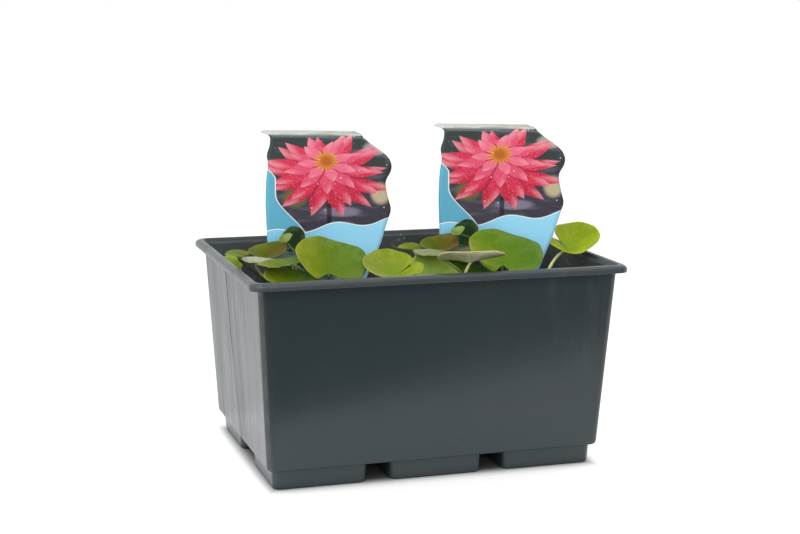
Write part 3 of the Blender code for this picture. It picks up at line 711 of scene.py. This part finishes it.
# for each leaf: where the stem joins it; heading of the tip, tilt of the midrib and roll; radius, dish, fold, curl,
# half angle of the notch, oval, ripple and its phase; then the stem's foot and its two bend points
leafTable = {
    "left_large": ((-104, -79, 211.5), (82, 26, 9), (38.5, 0.29, 0.45, 0.09, 32, 0.09, 0.05, 0.1),
        (-100, -34), (-103, -63, 181), (-102, -56, 166)),
    "left_small": ((-188, -42, 228), (156, 6, -5), (12.5, 0.08, 0.15, -0.15, 12, 0.2, 0.02, -2.4),
        (-102, -5), (-131, -50, 193), (-193, -9, 216)),
    "left_lobe": ((-172, 54.5, 205), (203, 6, -45), (11, -0.1, -0.62, 0.19, 5, 0.19, 0.03, -0.4),
        (-112, -7), (-142, 31, 154), (-161, 52, 180)),
    "left_olive": ((-152, 0.5, 216.5), (18, 6, 8), (21.5, 0.25, 0.12, 0.42, 9, 0.19, 0.01, 1.5),
        (-113, -12), (-136, -4, 178), (-141, -3, 189)),
    "left_dark": ((-119, 12, 227.5), (24, 48, 20), (15, 0.36, -0.14, 0.33, 9, 0.19, 0.03, -0.7),
        (-107, -7), (-114, 5, 185), (-114, 5, 183)),
    "left_flap": ((-130.5, -8, 234), (52, 25, -4), (8.5, 0.31, 1.3, 0.49, 12, 0.07, 0.05, 2.5),
        (-89, -27), (-92, -21, 179), (-114, -23, 213)),
    "left_pale": ((-166, -44, 219), (48, -4, 1), (21.5, 0.09, 0.18, 0.01, 13, 0.14, 0.01, -0.4),
        (-110, -25), (-157, -22, 207), (-176, -17, 214)),
    "left_floating": ((-156.5, -85, 222), (96, -1, -5), (21.5, 0.09, 0.26, 0.13, 15, 0.03, 0.02, 0.4),
        (-109, -19), (-100, -27, 186), (-122, -56, 226)),
    "left_front": ((-148, -92.5, 203), (40, 4, 11), (27, 0.21, 0.46, 0.27, 10, -0.04, 0.01, 0.4),
        (-105, -30), (-133, -71, 175), (-143, -85, 191)),
    "left_flat": ((-125, -8, 214), (133, -2, -7), (15.5, 0.13, 0.31, 0.13, 11, 0.03, 0.02, -2.2),
        (-114, -18), (-120, -13, 171), (-122, -10, 192)),
    "left_back": ((-84.5, 92, 221), (110, 8, 5), (26, 0.12, 0.3, 0.1, 12, 0.06, 0.03, 0.5),
        (-97, -1), (-113, 49, 141), (-90, 81, 198)),
    "left_rear": ((-39.5, 58, 218.5), (70, 6, -6), (23, 0.1, 0.35, 0.1, 10, 0.06, 0.03, 2),
        (-106, -2), (-123, 50, 144), (-74, 59, 188)),
    "middle_bright": ((-38, -99, 210), (197, -9, -17), (31.5, 0.3, 0.4, 0.24, 4, 0.15, 0.02, -3.9),
        (-87, -30), (-56, -69, 175), (-46, -82, 192)),
    "right_large": ((86.5, -77.5, 211), (70, 21, 10), (41, 0.17, 0.54, 0.22, 20, 0.15, 0.04, 0),
        (83, -60), (85, -66, 158), (86, -70, 176)),
    "right_small": ((2, -30, 223), (152, 2, -6), (13, 0.17, 0.31, -0.02, 4, 0.21, 0, 0.2),
        (69, -32), (40, -30, 168), (19, -30, 197)),
    "right_olive": ((27, -39, 222.5), (17, 10, 9), (21.5, 0.31, 0.05, 0.33, 11, 0.13, 0.03, 1.2),
        (70, -52), (36, -39, 197), (35, -39, 204)),
    "right_dark": ((61.5, -28.5, 233.5), (10, 40, 27), (15.5, 0.43, -0.06, 0.34, 8, 0.15, 0.03, -0.5),
        (90, -31), (72, -28, 193), (72, -27, 198)),
    "right_flap": ((47, -48, 241), (50, 23, -5), (8.5, 0.25, 1.08, 0.38, 6, 0.09, 0.05, 2.6),
        (94, -48), (99, -48, 184), (78, -44, 238)),
    "right_pale": ((7.5, -83, 225.5), (49, -3, 1), (22.5, 0.04, 0.24, 0.1, 11, 0.12, 0.02, -0.3),
        (78, -60), (61, -95, 168), (42, -105, 214)),
    "right_front": ((47.5, -62, 195), (40, 7, 10), (28.5, 0.25, 0.39, 0.19, 10, -0.05, 0.01, 0.4),
        (77, -56), (57, -61, 172), (60, -60, 166)),
    "right_flat": ((53.5, -52, 221), (139, -4, -7), (16, 0.13, 0.29, 0.14, 8, 0.03, 0.01, -1.4),
        (79, -29), (76, -27, 183), (70, -33, 211)),
    "right_dull": ((7, -80, 201.5), (44, 13, 22), (26.5, 0.3, 0.38, 0.03, 4, 0.06, 0, -0.3),
        (64, -44), (49, -52, 144), (24, -67, 175)),
    "right_funnel": ((35, -117.5, 222), (278, 18, -5), (35, 0.38, -0.3, -0.36, 41, 0.08, 0.02, 0.4),
        (69, -56), (31, -94, 176), (27, -110, 207)),
    "right_edge": ((182, -31.5, 215), (-43, -15, 33), (29, 0.6, 1.05, 0.54, 7, 0.22, 0.1, -3.4),
        (93, -53), (145, -55, 142), (150, -27, 211)),
    "right_back": ((148, 72, 221.5), (80, 8, 4), (28, 0.12, 0.3, 0.1, 12, 0.06, 0.03, 1.2),
        (82, -28), (126, 40, 174), (142, 63, 202)),
}

# for each leaf: colours of the left, right and far side and the underside, its roughness and the strength of its veins
leafColours = {
    "left_large": ("85901a", "50701c", "5c7a1c", "8a944a", 0.44, 0.25),
    "left_small": ("647810", "645c08", "5f6e08", "9a9e70", 0.42, 0.20),
    "left_lobe": ("86a024", "7a9428", "6f8c20", "86945c", 0.46, 0.25),
    "left_olive": ("5c6a04", "565002", "566202", "a6aa8c", 0.40, 0.30),
    "left_dark": ("1f4622", "122a18", "163219", "4f6238", 0.40, 0.15),
    "left_flap": ("7a8c48", "8a9658", "8a9a5a", "7f8e5c", 0.44, 0.45),
    "left_pale": ("8a9640", "b4baa2", "9aa284", "8c9262", 0.18, 0.30),
    "left_floating": ("7c8018", "4a6c10", "5c7014", "7c8440", 0.42, 0.25),
    "left_front": ("8a981a", "48700e", "3a600c", "c8ccbc", 0.34, 0.40),
    "left_flat": ("8c9288", "74805a", "949a8c", "80885e", 0.20, 0.25),
    "left_back": ("5f7c20", "6c8420", "52701c", "808c44", 0.40, 0.50),
    "left_rear": ("6c8420", "56761c", "5c7c20", "88924a", 0.40, 0.50),
    "middle_bright": ("88923a", "88981a", "7c900e", "a2aa5c", 0.44, 0.22),
    "right_large": ("7e9420", "527620", "5c8020", "88924a", 0.44, 0.25),
    "right_small": ("6a7c10", "606a08", "647208", "9a9c74", 0.42, 0.20),
    "right_olive": ("566802", "5a4c02", "566002", "9a9a74", 0.40, 0.30),
    "right_dark": ("204822", "122a18", "163219", "4f6238", 0.40, 0.15),
    "right_flap": ("74904a", "809052", "8a9a5a", "7f8e5c", 0.44, 0.45),
    "right_pale": ("7c8450", "8c9468", "78824c", "8c9262", 0.34, 0.20),
    "right_front": ("6c8418", "426c0c", "34580a", "b0b6a0", 0.34, 0.40),
    "right_flat": ("7c8272", "989e88", "8c9478", "80885e", 0.20, 0.25),
    # right_dull's colours are lightened as painted light, where the funnel leaf shades it
    "right_dull": ("c0d070", "a2c058", "b0cc66", "86925a", 0.55, 0.20),
    # right_funnel's colours are lightened as painted light, its near-white underside most, where it faces down into
    # shade
    "right_funnel": ("c4c088", "c0b880", "b0b468", "fff6d2", 0.55, 0.30),
    "right_edge": ("a2b038", "94a620", "8aa424", "c0c870", 0.46, 0.30),
    "right_back": ("5f7c20", "52701c", "6c8420", "808c44", 0.40, 0.50),
}


def leafAxes(heading, tilt, roll):
    # midrib direction, direction across the leaf, and the normal of its upper side
    heading, tilt, roll = np.radians([heading, tilt, roll])
    along = np.array([np.cos(heading) * np.cos(tilt), np.sin(heading) * np.cos(tilt), np.sin(tilt)])
    level = np.array([-np.sin(heading), np.cos(heading), 0.0])
    across = np.cos(roll) * level + np.sin(roll) * np.cross(along, level)
    return along, across, np.cross(along, across)


def rollUp(flat, height, amount, radius):
    # bends a flat coordinate round a cylinder, so that its ends rise by the amount
    curvature = amount / radius + 1e-6
    cosine = np.cos(curvature * flat)
    return np.sin(curvature * flat) / curvature, height * cosine + (1 - cosine) / curvature


def leafSurface(form, share, angle):
    # share is 0 at the stem and 1 at the margin, angle 0 at the tip; a cone of slope dish with a
    # ripple at the margin and low ridges between the veins, folded along the midrib and curled along its length
    look = leafLook
    radius, dish, fold, curl, notch, oval, ripple, phase = form
    last = np.pi - np.radians(notch)
    nearNotch = np.clip((np.abs(angle) - (last - 0.5)) / 0.5, 0.0, 1.0)
    margin = radius * (1 + oval * np.cos(angle)) * (1 - look["notchRound"] * nearNotch ** 2)
    margin = margin * (1 + look["wobble"] * (np.sin(7 * angle + phase * 3) + np.sin(11 * angle - phase)))
    reach = share * margin
    x, y = reach * np.cos(angle), reach * np.sin(angle)
    puff = np.abs(np.sin(angle * look["veinCount"] / 2 + 0.3 * np.sin(phase + share * 3)))
    z = dish * reach + ripple * radius * share ** 3 * np.sin(4 * angle + phase)
    z = z + look["veinRise"] * (puff - 0.5) * smooth(0.05, 0.4, share) * min(radius / 30, 1.0)
    y, z = rollUp(y, z, fold, radius)
    x, z = rollUp(x, z, curl, radius)
    return x, y, z


def makeLeafMaterial(name, roughness, veinStrength, side):
    look = leafLook
    upper = side == "upper"
    material, shader = newMaterial(name, **{
        "Roughness": roughness, "Specular IOR Level": 0.5 if roughness < 0.25 else 0.08,
        "Subsurface Weight": look["glow"], "Subsurface Radius": look["glowDepth"]})
    place = objectPlace(shader)
    tint = layerColour(shader, "tint" if upper else "back")
    width = 0.034 if upper else 0.060
    leaf = useGroup(veinGroup, place=surfacePlace(shader), rays=float(look["veinCount"]), width=width)
    veins, share = leaf["veins"], leaf["share"]
    wide, fine = noise(place, 38.0, 3.0, 0.6), noise(place, 260.0, 3.0, 0.6)
    dark = blend(1.0, tint, look["darker"], "MULTIPLY")
    light = blend(1.0, tint, look["lighter"], "MULTIPLY")
    colour = blend(rise(wide, 0.34, 0.60), tint, blend(0.7, tint, dark))
    for amount in (rise(wide, 0.52, 0.70) * 0.55, rise(fine, 0.50, 0.70) * 0.25, veins * veinStrength):
        colour = blend(amount, colour, light)
    if upper:
        # darker towards the middle, with uneven greyish patches towards the margin
        colour = blend((1.0 - rise(share, 0.08, 0.62)) * 0.60, colour, dark)
        patches = rise(noise(place, 62.0, 4.0, 0.65), 0.43, 0.62) * rise(share, 0.55, 0.96) * 0.36
        colour = blend(patches, colour, blend(0.35, light, look["patch"]))
    # yellow and orange speckles and a thin pale rim at the margin
    speckles = (spots(place, 420.0) < 0.26) * rise(share, 0.70, 0.97) * rise(wide, 0.42, 0.60)
    colour = blend(speckles * 0.42, colour, look["speckle"])
    colour = blend(rise(share, 0.950, 0.995) * (0.15 + wide * 0.55), colour, light)
    height = veins * (-0.7 if upper else 0.9) + fine * 0.25
    finishMaterial(shader, colour, height, 0.32, 0.0006, Roughness=fine * 0.16 + (roughness - 0.08))
    return material


def leafTints(name, offset, radius):
    # left to right colours across the photographed view, with the far side's colour blended in
    west, east, far, back = [hexColour(code) for code in leafColours[name][:4]]
    t = smooth(-0.85, 0.85, offset[:, 0] / radius)[:, None]
    d = smooth(0.1, 1.0, offset[:, 1] / radius)[:, None]
    tint = (west * (1 - t) + east * t) * (1 - 0.6 * d) + far * 0.6 * d
    return tint, np.broadcast_to(back, tint.shape) * (0.92 + 0.12 * t)


leafMaterials = {}


def leafMaterialPair(roughness, vein):
    # one pair of materials for each roughness and vein strength, so that similar leaves share them
    roughness, vein = round(roughness, 2), round(vein, 1)
    label = "g%02d_v%02d" % (round(roughness * 100), round(vein * 10))
    if label not in leafMaterials:
        under = roughness + leafLook["underRougher"]
        leafMaterials[label] = [makeLeafMaterial("leafUpper_" + label, roughness, vein, "upper"),
                                makeLeafMaterial("leafUnder_" + label, under, vein, "under")]
    return leafMaterials[label]


def buildLeaf(name):
    look = leafLook
    hub, pose, form = [np.array(part, float) for part in leafTable[name][:3]]
    last = np.pi - np.radians(form[4])
    rings, sectors = look["rings"], look["sectors"]
    steps = np.linspace(0, 1, rings + 1)[1:] ** 0.9
    share, angle = np.meshgrid(steps, np.linspace(-last, last, sectors + 1), indexing="ij")
    share, angle = np.r_[0.0, share.ravel()], np.r_[0.0, angle.ravel()]
    x, y, z = leafSurface(form, share, angle)
    along, across, normal = leafAxes(*pose)
    offset = x[:, None] * along + y[:, None] * across + z[:, None] * normal
    j = np.arange(sectors)
    faces = [np.stack([np.zeros(sectors, int), 1 + j, 2 + j], 1), gridFaces(rings, sectors + 1)[:, ::-1] + 1]
    uv = 0.5 + 0.5 * share[:, None] * np.stack([np.cos(angle), np.sin(angle)], 1)
    tint, back = leafTints(name, offset, form[0])
    materials = leafMaterialPair(*leafColours[name][4:])
    piece = makePiece("lilyLeaf_" + name, hub + offset, faces, materials, 180, uv=uv, tint=tint, back=back)
    addThickness(piece, look["thickness"], 1)
    dull = name.endswith(("flap", "pale", "flat", "funnel"))
    fitPiece(piece, "leaf_dull" if dull else "leaf_green", "leaf_" + name)


# stems

stemLook = dict(
    radii=((28, 1.9), (17, 1.5), (0, 1.2)),  # a leaf's smallest radius, and its stem's radius
    sides=14, points=44, footZ=124.6, sink=0.38, low="9c9254", high="e4ea9c", streak="8f9a4a", blotch="8a5a3a",
    # stems whose upper colour is painted: the dark ones are painted shade where a stem passes through the leaves'
    # shade, the pale ones are painted light on stems that lie in shade
    own=dict(left_flap="3f5226", right_flap="3f5226", right_pale="6a7638", left_small="50552f", left_pale="f8f6c4",
             left_large="66703c", right_large="5c6a38", right_funnel="f2f2b4", right_edge="f2f0ac"))


def makeStemMaterial():
    look = stemLook
    material, shader = newMaterial("stemSkin", **{
        "Roughness": 0.36, "Subsurface Weight": 0.10, "Subsurface Radius": (0.001, 0.001, 0.0004)})
    place = objectPlace(shader)
    streak = noise(place, 300.0, 3.0, 0.6, (1.0, 1.0, 0.12))
    colour = blend(rise(streak, 0.45, 0.7) * 0.35, layerColour(shader), look["streak"])
    colour = blend(rise(noise(place, 70.0, 2.0), 0.52, 0.72) * 0.30, colour, look["blotch"])
    finishMaterial(shader, colour, streak, 0.25, 0.0004)
    return material


def buildStem(name, material):
    look = stemLook
    hub, pose, form, foot, bend, lead = [np.array(part, float) for part in leafTable[name]]
    radius = next(r for limit, r in look["radii"] if form[0] >= limit)
    normal = leafAxes(*pose)[2]
    # a cubic curve from the soil to the leaf's underside, drawn by its two bend points
    start, end = np.array([*foot, look["footZ"]]), hub - normal * look["sink"]
    s = np.linspace(0, 1, look["points"])[:, None]
    path = (1 - s) ** 3 * start + 3 * (1 - s) ** 2 * s * bend + 3 * (1 - s) * s ** 2 * lead + s ** 3 * end
    s = s[:, 0]
    # the stem thins upwards, swells at its foot and flares into the leaf's ribs
    width = radius * (1.0 - 0.16 * s + 0.25 * np.exp(-s / 0.04) + 0.30 * smooth(0.965, 1.0, s))
    points, faces = tubeParts(path[None], width[None], look["sides"])
    # the last rings lean over until the end lies flat against the leaf's underside
    offset = points.reshape(-1, look["sides"], 3) - path[:, None]
    lean = smooth(0.90, 1.0, s)[:, None, None] * (offset @ normal)[..., None] * normal
    points = (path[:, None] + offset - lean).reshape(-1, 3)
    share = smooth(0.0, 0.42, s).repeat(look["sides"])[:, None]
    # the listed stems take a painted upper colour: painted shade for the dark ones, painted light for the pale ones
    tint = hexColour(look["low"]) * (1 - share) + hexColour(look["own"].get(name, look["high"])) * share
    piece = makePiece("lilyStem_" + name, points, faces, [material], 180, tint=tint)
    fitPiece(piece, "stem_pale", "stem_" + name)


stemMaterial = makeStemMaterial()
for name in leafTable:
    buildLeaf(name)
    buildStem(name, stemMaterial)
print("leaves and stems built")


# picture labels

labelLook = dict(
    feet=dict(left=(-74.5, 15.0), right=(106.7, -33.0)), turn=20.0, lift=dict(left=0.0, right=7.5),
    aside=dict(left=0.0, right=-1.5), thickness=0.5, foldRadius=4.5, foldAngle=84.0, soilTop=125.0,
    step=2.5, columns=30, smoothing=3, bow=0.25,
    # the outline: height along the sheet, left edge and right edge; in the header the height is counted from the fold
    rows=((-52.0, -2.0, 2.0), (-40.0, -12.5, 12.5), (3.0, -12.5, 12.5), (14.0, -26.0, 18.0), (34.0, -50.0, 26.0),
          (60.0, -63.0, 36.0), (85.0, -68.5, 45.5), (102.0, -70.0, 52.5), (128.0, -71.0, 60.0), (139.0, -71.5, 64.0),
          (148.0, -71.5, 61.0), (163.0, -71.0, 57.5), (170.5, -70.5, 57.0), (178.0, -69.5, 62.5), (186.0, -68.0, 64.5),
          (191.0, -69.5, 62.5), (196.5, -70.5, 59.5), (205.0, -66.5, 47.5), (214.5, -66.0, 33.5)),
    header=((1.5, -67.0, 33.0), (3.0, -68.5, 32.5), (4.5, -70.5, 31.5), (5.8, -73.0, 31.0), (12.0, -78.5, 27.5),
            (17.0, -77.5, 25.0), (22.8, -73.5, 22.5)),
    # soil is the dark colour of the painted shade on the print's lower left part
    water="3e3a48", waterDark="303c3a", ripple="7a7488", shadow="2a3430", line="eef4f6", band="5cabc8",
    sky="9cdefc", skyLeft="86cdee", drop="f0eef0", soil="2c3422", back="e9ebe8", backSoil="8f8468",
    paper="9ea49c", headerDark="767e6c", headerPale="d4d8d2",
    # pads, reflections and the flower's stalk: centre, half width, half height, softness, strength and colour
    blots=((-0.40, 1.50, 0.17, 0.13, 0.45, 0.85, "6a6638"), (0.52, 1.56, 0.13, 0.14, 0.45, 0.85, "cbbd98"),
           (0.10, 1.36, 0.26, 0.07, 0.45, 0.85, "8a7f98"), (0.46, 2.04, 0.16, 0.09, 0.45, 0.85, "a8aaa0"),
           (-0.03, 1.36, 0.032, 0.30, 0.35, 0.80, "1c1414")),
    # whorls of petals: count, turn, length, height of the middle and colour
    whorls=((12.0, 0.25, 0.76, 1.72, "c41f40"), (11.0, 0.55, 0.69, 1.78, "d42c50"),
            (9.0, 0.15, 0.52, 1.84, "e04e70"), (7.0, 0.40, 0.36, 1.88, "ea6c86")),
    flowerX=-0.06, petalPale="ea98a6", petalDeep="c4203a", petalFleck="fbd0d8", petalGap="8a1428",
    stamen="e8a030", stamenDark="b8601c")


# petals: pointed ovals from the flower's centre; the shade is high along a petal's middle towards its tip, the gap
# between petals, and the reach is 0 at the flower's centre and 1 at a petal's full length
def makePetalGroup():
    group, (place, centreX, centreY, count, turn, length, squash), end = makeGroup(
        "flowerPetals", ("mask", "shade", "reach", "gap"),
        centreX=0.0, centreY=1.7, count=9.0, turn=0.0, length=0.5, squash=1.6)
    x, y = split(place)[:2]
    x, y = x - centreX, (y - centreY) * squash
    reach = calc("SQRT", x * x + y * y) / length
    turned = (calc("ARCTAN2", y, x) + turn) * (count / fullTurn)
    whole = calc("FLOOR", turned + 0.5)
    off = (turned - whole) * 2.0
    uneven = nodeValue(addNode(group, "ShaderNodeTexWhiteNoise", {"W": whole}, noise_dimensions="1D").outputs["Value"])
    inside = (0.86 + uneven * 0.18) * (1.0 - abs(off) ** 0.88 * 0.46) - reach
    line = calc("MAXIMUM", 1.0 - abs(off - 0.2), 0.0)
    feed(end, dict(mask=rise(inside, -0.012, 0.012), shade=line * rise(reach, 0.15, 0.95),
                   reach=reach, gap=rise(abs(off), 0.72, 1.0)))
    return group


# a soft-edged ellipse in the print: 1 inside, 0 outside
def makeBlotGroup():
    group, (place, centreX, centreY, halfX, halfY, softness), end = makeGroup(
        "roundBlot", ("mask",), centreX=0.0, centreY=0.0, halfX=0.1, halfY=0.1, softness=0.1)
    x, y = split(place)[:2]
    x, y = (x - centreX) / halfX, (y - centreY) / halfY
    feed(end, dict(mask=rise(1.0 - calc("SQRT", x * x + y * y), 0.0, softness)))
    return group


petalGroup = makePetalGroup()
blotGroup = makeBlotGroup()


def makeLabelMaterial():
    # print placed in units of 100 mm: x to the right of the stick's middle, y up from the soil along the sheet
    look = labelLook
    material, shader = newMaterial("labelPrint", Roughness=0.22)
    place = surfacePlace(shader)
    x, y = split(place)[:2]
    ripple = noise(place, 9.0, 2.0, 0.5, (0.4, 1.8, 1.0))
    colour = blend(rise(y, 1.35, 1.95), look["water"], look["waterDark"])
    colour = blend(rise(ripple, 0.48, 0.72) * 0.35, colour, look["ripple"])
    colour = blend(rise(noise(place, 3.0, 3.0, 0.55), 0.50, 0.70) * 0.30, colour, look["shadow"])
    for cx, cy, hx, hy, softness, strength, shade in look["blots"]:
        blot = useGroup(blotGroup, place=place, centreX=cx, centreY=cy, halfX=hx, halfY=hy, softness=softness)
        colour = blend(blot["mask"] * strength, colour, shade)
    # flower: four whorls of petals round a tuft of stamens, the outer ones lower, as seen a little from the side
    flecks = rise(noise(place, 42.0, 3.0, 0.7), 0.56, 0.70) * 0.32
    for count, turn, length, middle, base in look["whorls"]:
        petals = useGroup(petalGroup, place=place, centreX=look["flowerX"], centreY=middle, count=count, turn=turn,
                          length=length, squash=1.55)
        inner = blend(rise(petals["shade"], 0.35, 0.95) * 0.75, base, look["petalPale"])
        inner = blend(flecks, inner, look["petalFleck"])
        inner = blend(petals["gap"] * 0.75, inner, look["petalGap"])
        inner = blend(rise(petals["reach"], 0.40, 0.05), inner, look["petalDeep"])
        colour = blend(petals["mask"], colour, inner)
    tuft = useGroup(petalGroup, place=place, centreX=look["flowerX"], centreY=1.90, count=17.0, turn=0.1, length=0.15,
                    squash=1.2)
    colour = blend(tuft["mask"], colour, blend(rise(tuft["reach"], 0.2, 0.9), look["stamenDark"], look["stamen"]))
    # water drops on the petals
    colour = blend((spots(place, 9.0) < 0.07) * 0.7, colour, look["drop"])
    # a band down the left side and a pale wavy field below, each with a thin white line along it
    swell, spread = 1.0 - rise(y, 1.70, 1.86), 1.0 - rise(y, 1.05, 1.54)
    aside = -0.72 + (swell * 0.11 + spread * 0.34) - x
    over = 1.20 + calc("SINE", x * 9.5 + 1.2) * 0.035 + x * 0.13 - y
    field = blend(rise(x, -0.6, 0.3), look["skyLeft"], look["sky"])
    for inside, fill in ((aside, look["band"]), (over, field)):
        colour = blend(rise(inside, -0.010, -0.006), colour, look["line"])
        colour = blend(rise(inside, 0.0, 0.006), colour, fill)
    # painted shade: the lower left part of the print is darkened, low among the leaves that shade it
    lowPaintedShade = (1.0 - rise(y, 0.76, 0.93)) * (1.0 - rise(x, -0.02, 0.14)) * (0.70 + rise(ripple, 0.35, 0.60) * 0.22)
    colour = blend(lowPaintedShade, colour, look["soil"])
    # pale weathered header past the fold, streaked
    streak = noise(place, 7.0, 4.0, 0.65, (0.35, 3.0, 1.0))
    header = blend(rise(x, -0.7, 0.35), look["paper"], look["headerDark"])
    header = blend(rise(streak, 0.45, 0.62) * 0.6, header, look["headerPale"])
    colour = blend(rise(y, 2.165, 2.185), colour, header)
    rough = 0.16 + noise(place, 5.0, 4.0, 0.6) * 0.16
    finishMaterial(shader, colour, noise(place, 2.2, 1.0), 0.25, 0.002, Roughness=rough)
    return material


def makeLabelBackMaterial():
    look = labelLook
    material, shader = newMaterial("labelBack", Roughness=0.4)
    place = surfacePlace(shader)
    low = (1.0 - rise(split(place)[1], 0.0, 0.9)) * rise(noise(place, 9.0, 5.0, 0.65), 0.4, 0.65)
    finishMaterial(shader, blend(low * 0.55, look["back"], look["backSoil"]), noise(place, 60.0, 2.0), 0.06, 0.001)
    return material


def buildLabel(side, materials):
    # the sheet's outline row by row, straight up to the fold, round it, then back; edges are smoothed between the rows
    look = labelLook
    top = look["rows"][-1][0]
    table = np.array(look["rows"] + tuple((top + past, left, right) for past, left, right in look["header"]))
    path = np.unique(np.r_[np.arange(table[0, 0], table[-1, 0], look["step"]), table[[0, 1, 2, -1], 0],
                           np.linspace(top, top + 6.0, 9)])
    edges = np.stack([np.interp(path, table[:, 0], table[:, k]) for k in (1, 2)])
    soft = (path[1:-1] > 1.0) & (path[1:-1] < top + 21.0)
    for _ in range(look["smoothing"]):
        inner = (edges[:, :-2] + 2 * edges[:, 1:-1] + edges[:, 2:]) / 4
        edges[:, 1:-1] = np.where(soft, inner, edges[:, 1:-1])
    bend, radius = math.radians(look["foldAngle"]), look["foldRadius"]
    past = np.maximum(path - top, 0.0)
    angle = np.minimum(past / radius, bend)
    flat = np.maximum(past - radius * bend, 0.0)
    height = np.minimum(path, top) + radius * np.sin(angle) + flat * math.cos(bend)
    depth = radius * (1 - np.cos(angle)) + flat * math.sin(bend)
    depth = depth + look["bow"] * np.sin(np.clip(path / top, 0, 1) * fullTurn) * (path > 0)  # the sheet bows a little
    share = np.linspace(0, 1, look["columns"] + 1)
    aside = edges[0][:, None] * (1 - share) + edges[1][:, None] * share
    turn = math.radians(look["turn"])
    across, back = np.array([math.cos(turn), -math.sin(turn), 0.0]), np.array([math.sin(turn), math.cos(turn), 0.0])
    foot = np.array([*look["feet"][side], look["soilTop"] + look["lift"][side]]) + across * look["aside"][side]
    points = foot + aside[..., None] * across + depth[:, None, None] * back
    points[..., 2] += height[:, None]
    uv = np.stack(np.broadcast_arrays(aside / 100, path[:, None] / 100), -1).reshape(-1, 2)
    faces = [gridFaces(len(path), look["columns"] + 1)]
    piece = makePiece("pictureLabel_" + side, points.reshape(-1, 3), faces, materials, 180, uv=uv)
    addThickness(piece, look["thickness"], 1)
    fitPiece(piece, "label_print", "label_" + side)


labelMaterials = [makeLabelMaterial(), makeLabelBackMaterial()]
for side in ("left", "right"):
    buildLabel(side, labelMaterials)
print("labels built")


# lights, floor and the white room, with lengths in metres

roomLook = dict(
    white=1.0, dim=0.24,  # the room's brightness, and what is left of it low down in front
    glow=0.02, nearGlow=0.33, endGlow=0.30,  # the floor's glow: far off to keep the floor white, and painted light near the tub and beside its ends
    footprint=(0.179, 0.127), underShade=0.14, shadeReach=(-0.020, 0.0),  # painted shadow: the darker floor below the tub
    floorFront=-0.344, floorSlope=-0.3225, floorSide=9.0, floorBack=14.0, floorColour=(0.80, 0.80, 0.80),
    # each light's place, aim, size and power
    lights=dict(keyLight=((-0.7, -0.5, 2.2), (0, 0, 0.1), (1.4, 1.4), 8.0),
                frontLight=((-0.9, -2.4, 2.1), (0, 0, 0.15), (2.6, 1.2), 34.0),
                lowLight=((-0.5, -3.0, 1.0), (0, 0, 0.2), (2.2, 0.7), 26.0)))


def placeObject(name, data, right, up, back, place):
    item = addObject(name, data)
    matrix = np.eye(4)
    matrix[:3] = np.stack([right, up, back, place], 1)
    item.matrix_world = matrix.T.tolist()
    return item


def buildFloor():
    look = roomLook
    material, shader = newMaterial("paleFloor", **{
        "Roughness": 0.9, "Specular IOR Level": 0.0, "Emission Color": (1.0, 1.0, 1.0)})
    place = objectPlace(shader)
    aside, along = [abs(part) for part in split(place)[:2]]
    # how far outside the tub's wall a place on the floor is
    beside = calc("MAXIMUM", aside - look["footprint"][0], along - look["footprint"][1])
    ends = (rise(aside, 0.174, 0.186) - rise(aside, 0.25, 0.36)) * (1.0 - rise(along, 0.13, 0.20))
    near = rise(beside, -0.008, 0.014) * look["nearGlow"] + ends * look["endGlow"]
    far = nodeValue(addNode(shader.id_data, "ShaderNodeVectorMath", {0: place}, operation="LENGTH").outputs["Value"])
    # the colour holds the painted shadow below the tub, and the emission holds the painted light near it and beside its
    # ends
    under = [value * look["underShade"] for value in look["floorColour"]]
    feed(shader, {"Base Color": blend(rise(beside, *look["shadeReach"]), under, look["floorColour"]),
                  "Emission Strength": near + rise(far, 0.35, 1.3) * look["glow"]})
    side, back = look["floorSide"], look["floorBack"]
    edge = [(x, look["floorFront"] + look["floorSlope"] * x, 0) for x in (-side, side)]  # square to the camera
    mesh = bpy.data.meshes.new("floor")
    mesh.from_pydata([*edge, (side, back, 0), (-side, back, 0)], [], [(0, 1, 2, 3)])
    mesh.materials.append(material)
    addObject("floor", mesh)


def buildRoom():
    # white all round and above, and dark low down in front, behind the camera
    look = roomLook
    world = bpy.data.worlds.new("room")
    bpy.context.scene.world = world
    world.use_nodes = True
    tree = world.node_tree
    x, y, z = split(nodeValue(addNode(tree, "ShaderNodeTexCoord").outputs["Generated"]))
    share = rise(x * -1.0, 0.35, 0.75)
    seen = nodeValue(addNode(tree, "ShaderNodeLightPath").outputs["Is Camera Ray"])
    for other in (rise(y, -0.15, 0.25), rise(z, 0.45, 0.85), seen):
        share = calc("MAXIMUM", share, other)
    feed(tree.nodes["Background"], {0: (1.0, 1.0, 1.0), 1: look["dim"] + share * (look["white"] - look["dim"])})
    for name, (place, aim, size, power) in look["lights"].items():
        light = bpy.data.lights.new(name, "AREA")
        light.shape = "RECTANGLE"
        light.size, light.size_y = size
        light.energy = power
        back = unit(np.array(place) - np.array(aim))
        right = unit(np.cross((0, 0, 1), back))
        placeObject(name, light, right, np.cross(back, right), back, place)


# camera, as the photograph was taken, with its place in metres

cameraLook = dict(place=(-0.5201, -1.6068, 0.4982), yaw=17.86, pitch=10.03, roll=0.40, lens=71.17, sensor=36.0)


def setCamera():
    look = cameraLook
    yaw, pitch, roll = [math.radians(look[k]) for k in ("yaw", "pitch", "roll")]
    forward = np.array([math.sin(yaw) * math.cos(pitch), math.cos(yaw) * math.cos(pitch), -math.sin(pitch)])
    right = np.array([math.cos(yaw), -math.sin(yaw), 0.0])
    up = np.cross(right, forward)
    data = bpy.data.cameras.new("photoCamera")
    data.lens = look["lens"]
    data.sensor_width = look["sensor"]
    data.sensor_fit = "HORIZONTAL"
    turned = math.cos(roll) * right + math.sin(roll) * up, -math.sin(roll) * right + math.cos(roll) * up
    bpy.context.scene.camera = placeObject("photoCamera", data, *turned, -forward, look["place"])


buildFloor()
buildRoom()
setCamera()
bpy.context.scene.view_settings.view_transform = "Standard"
print("room and camera set")
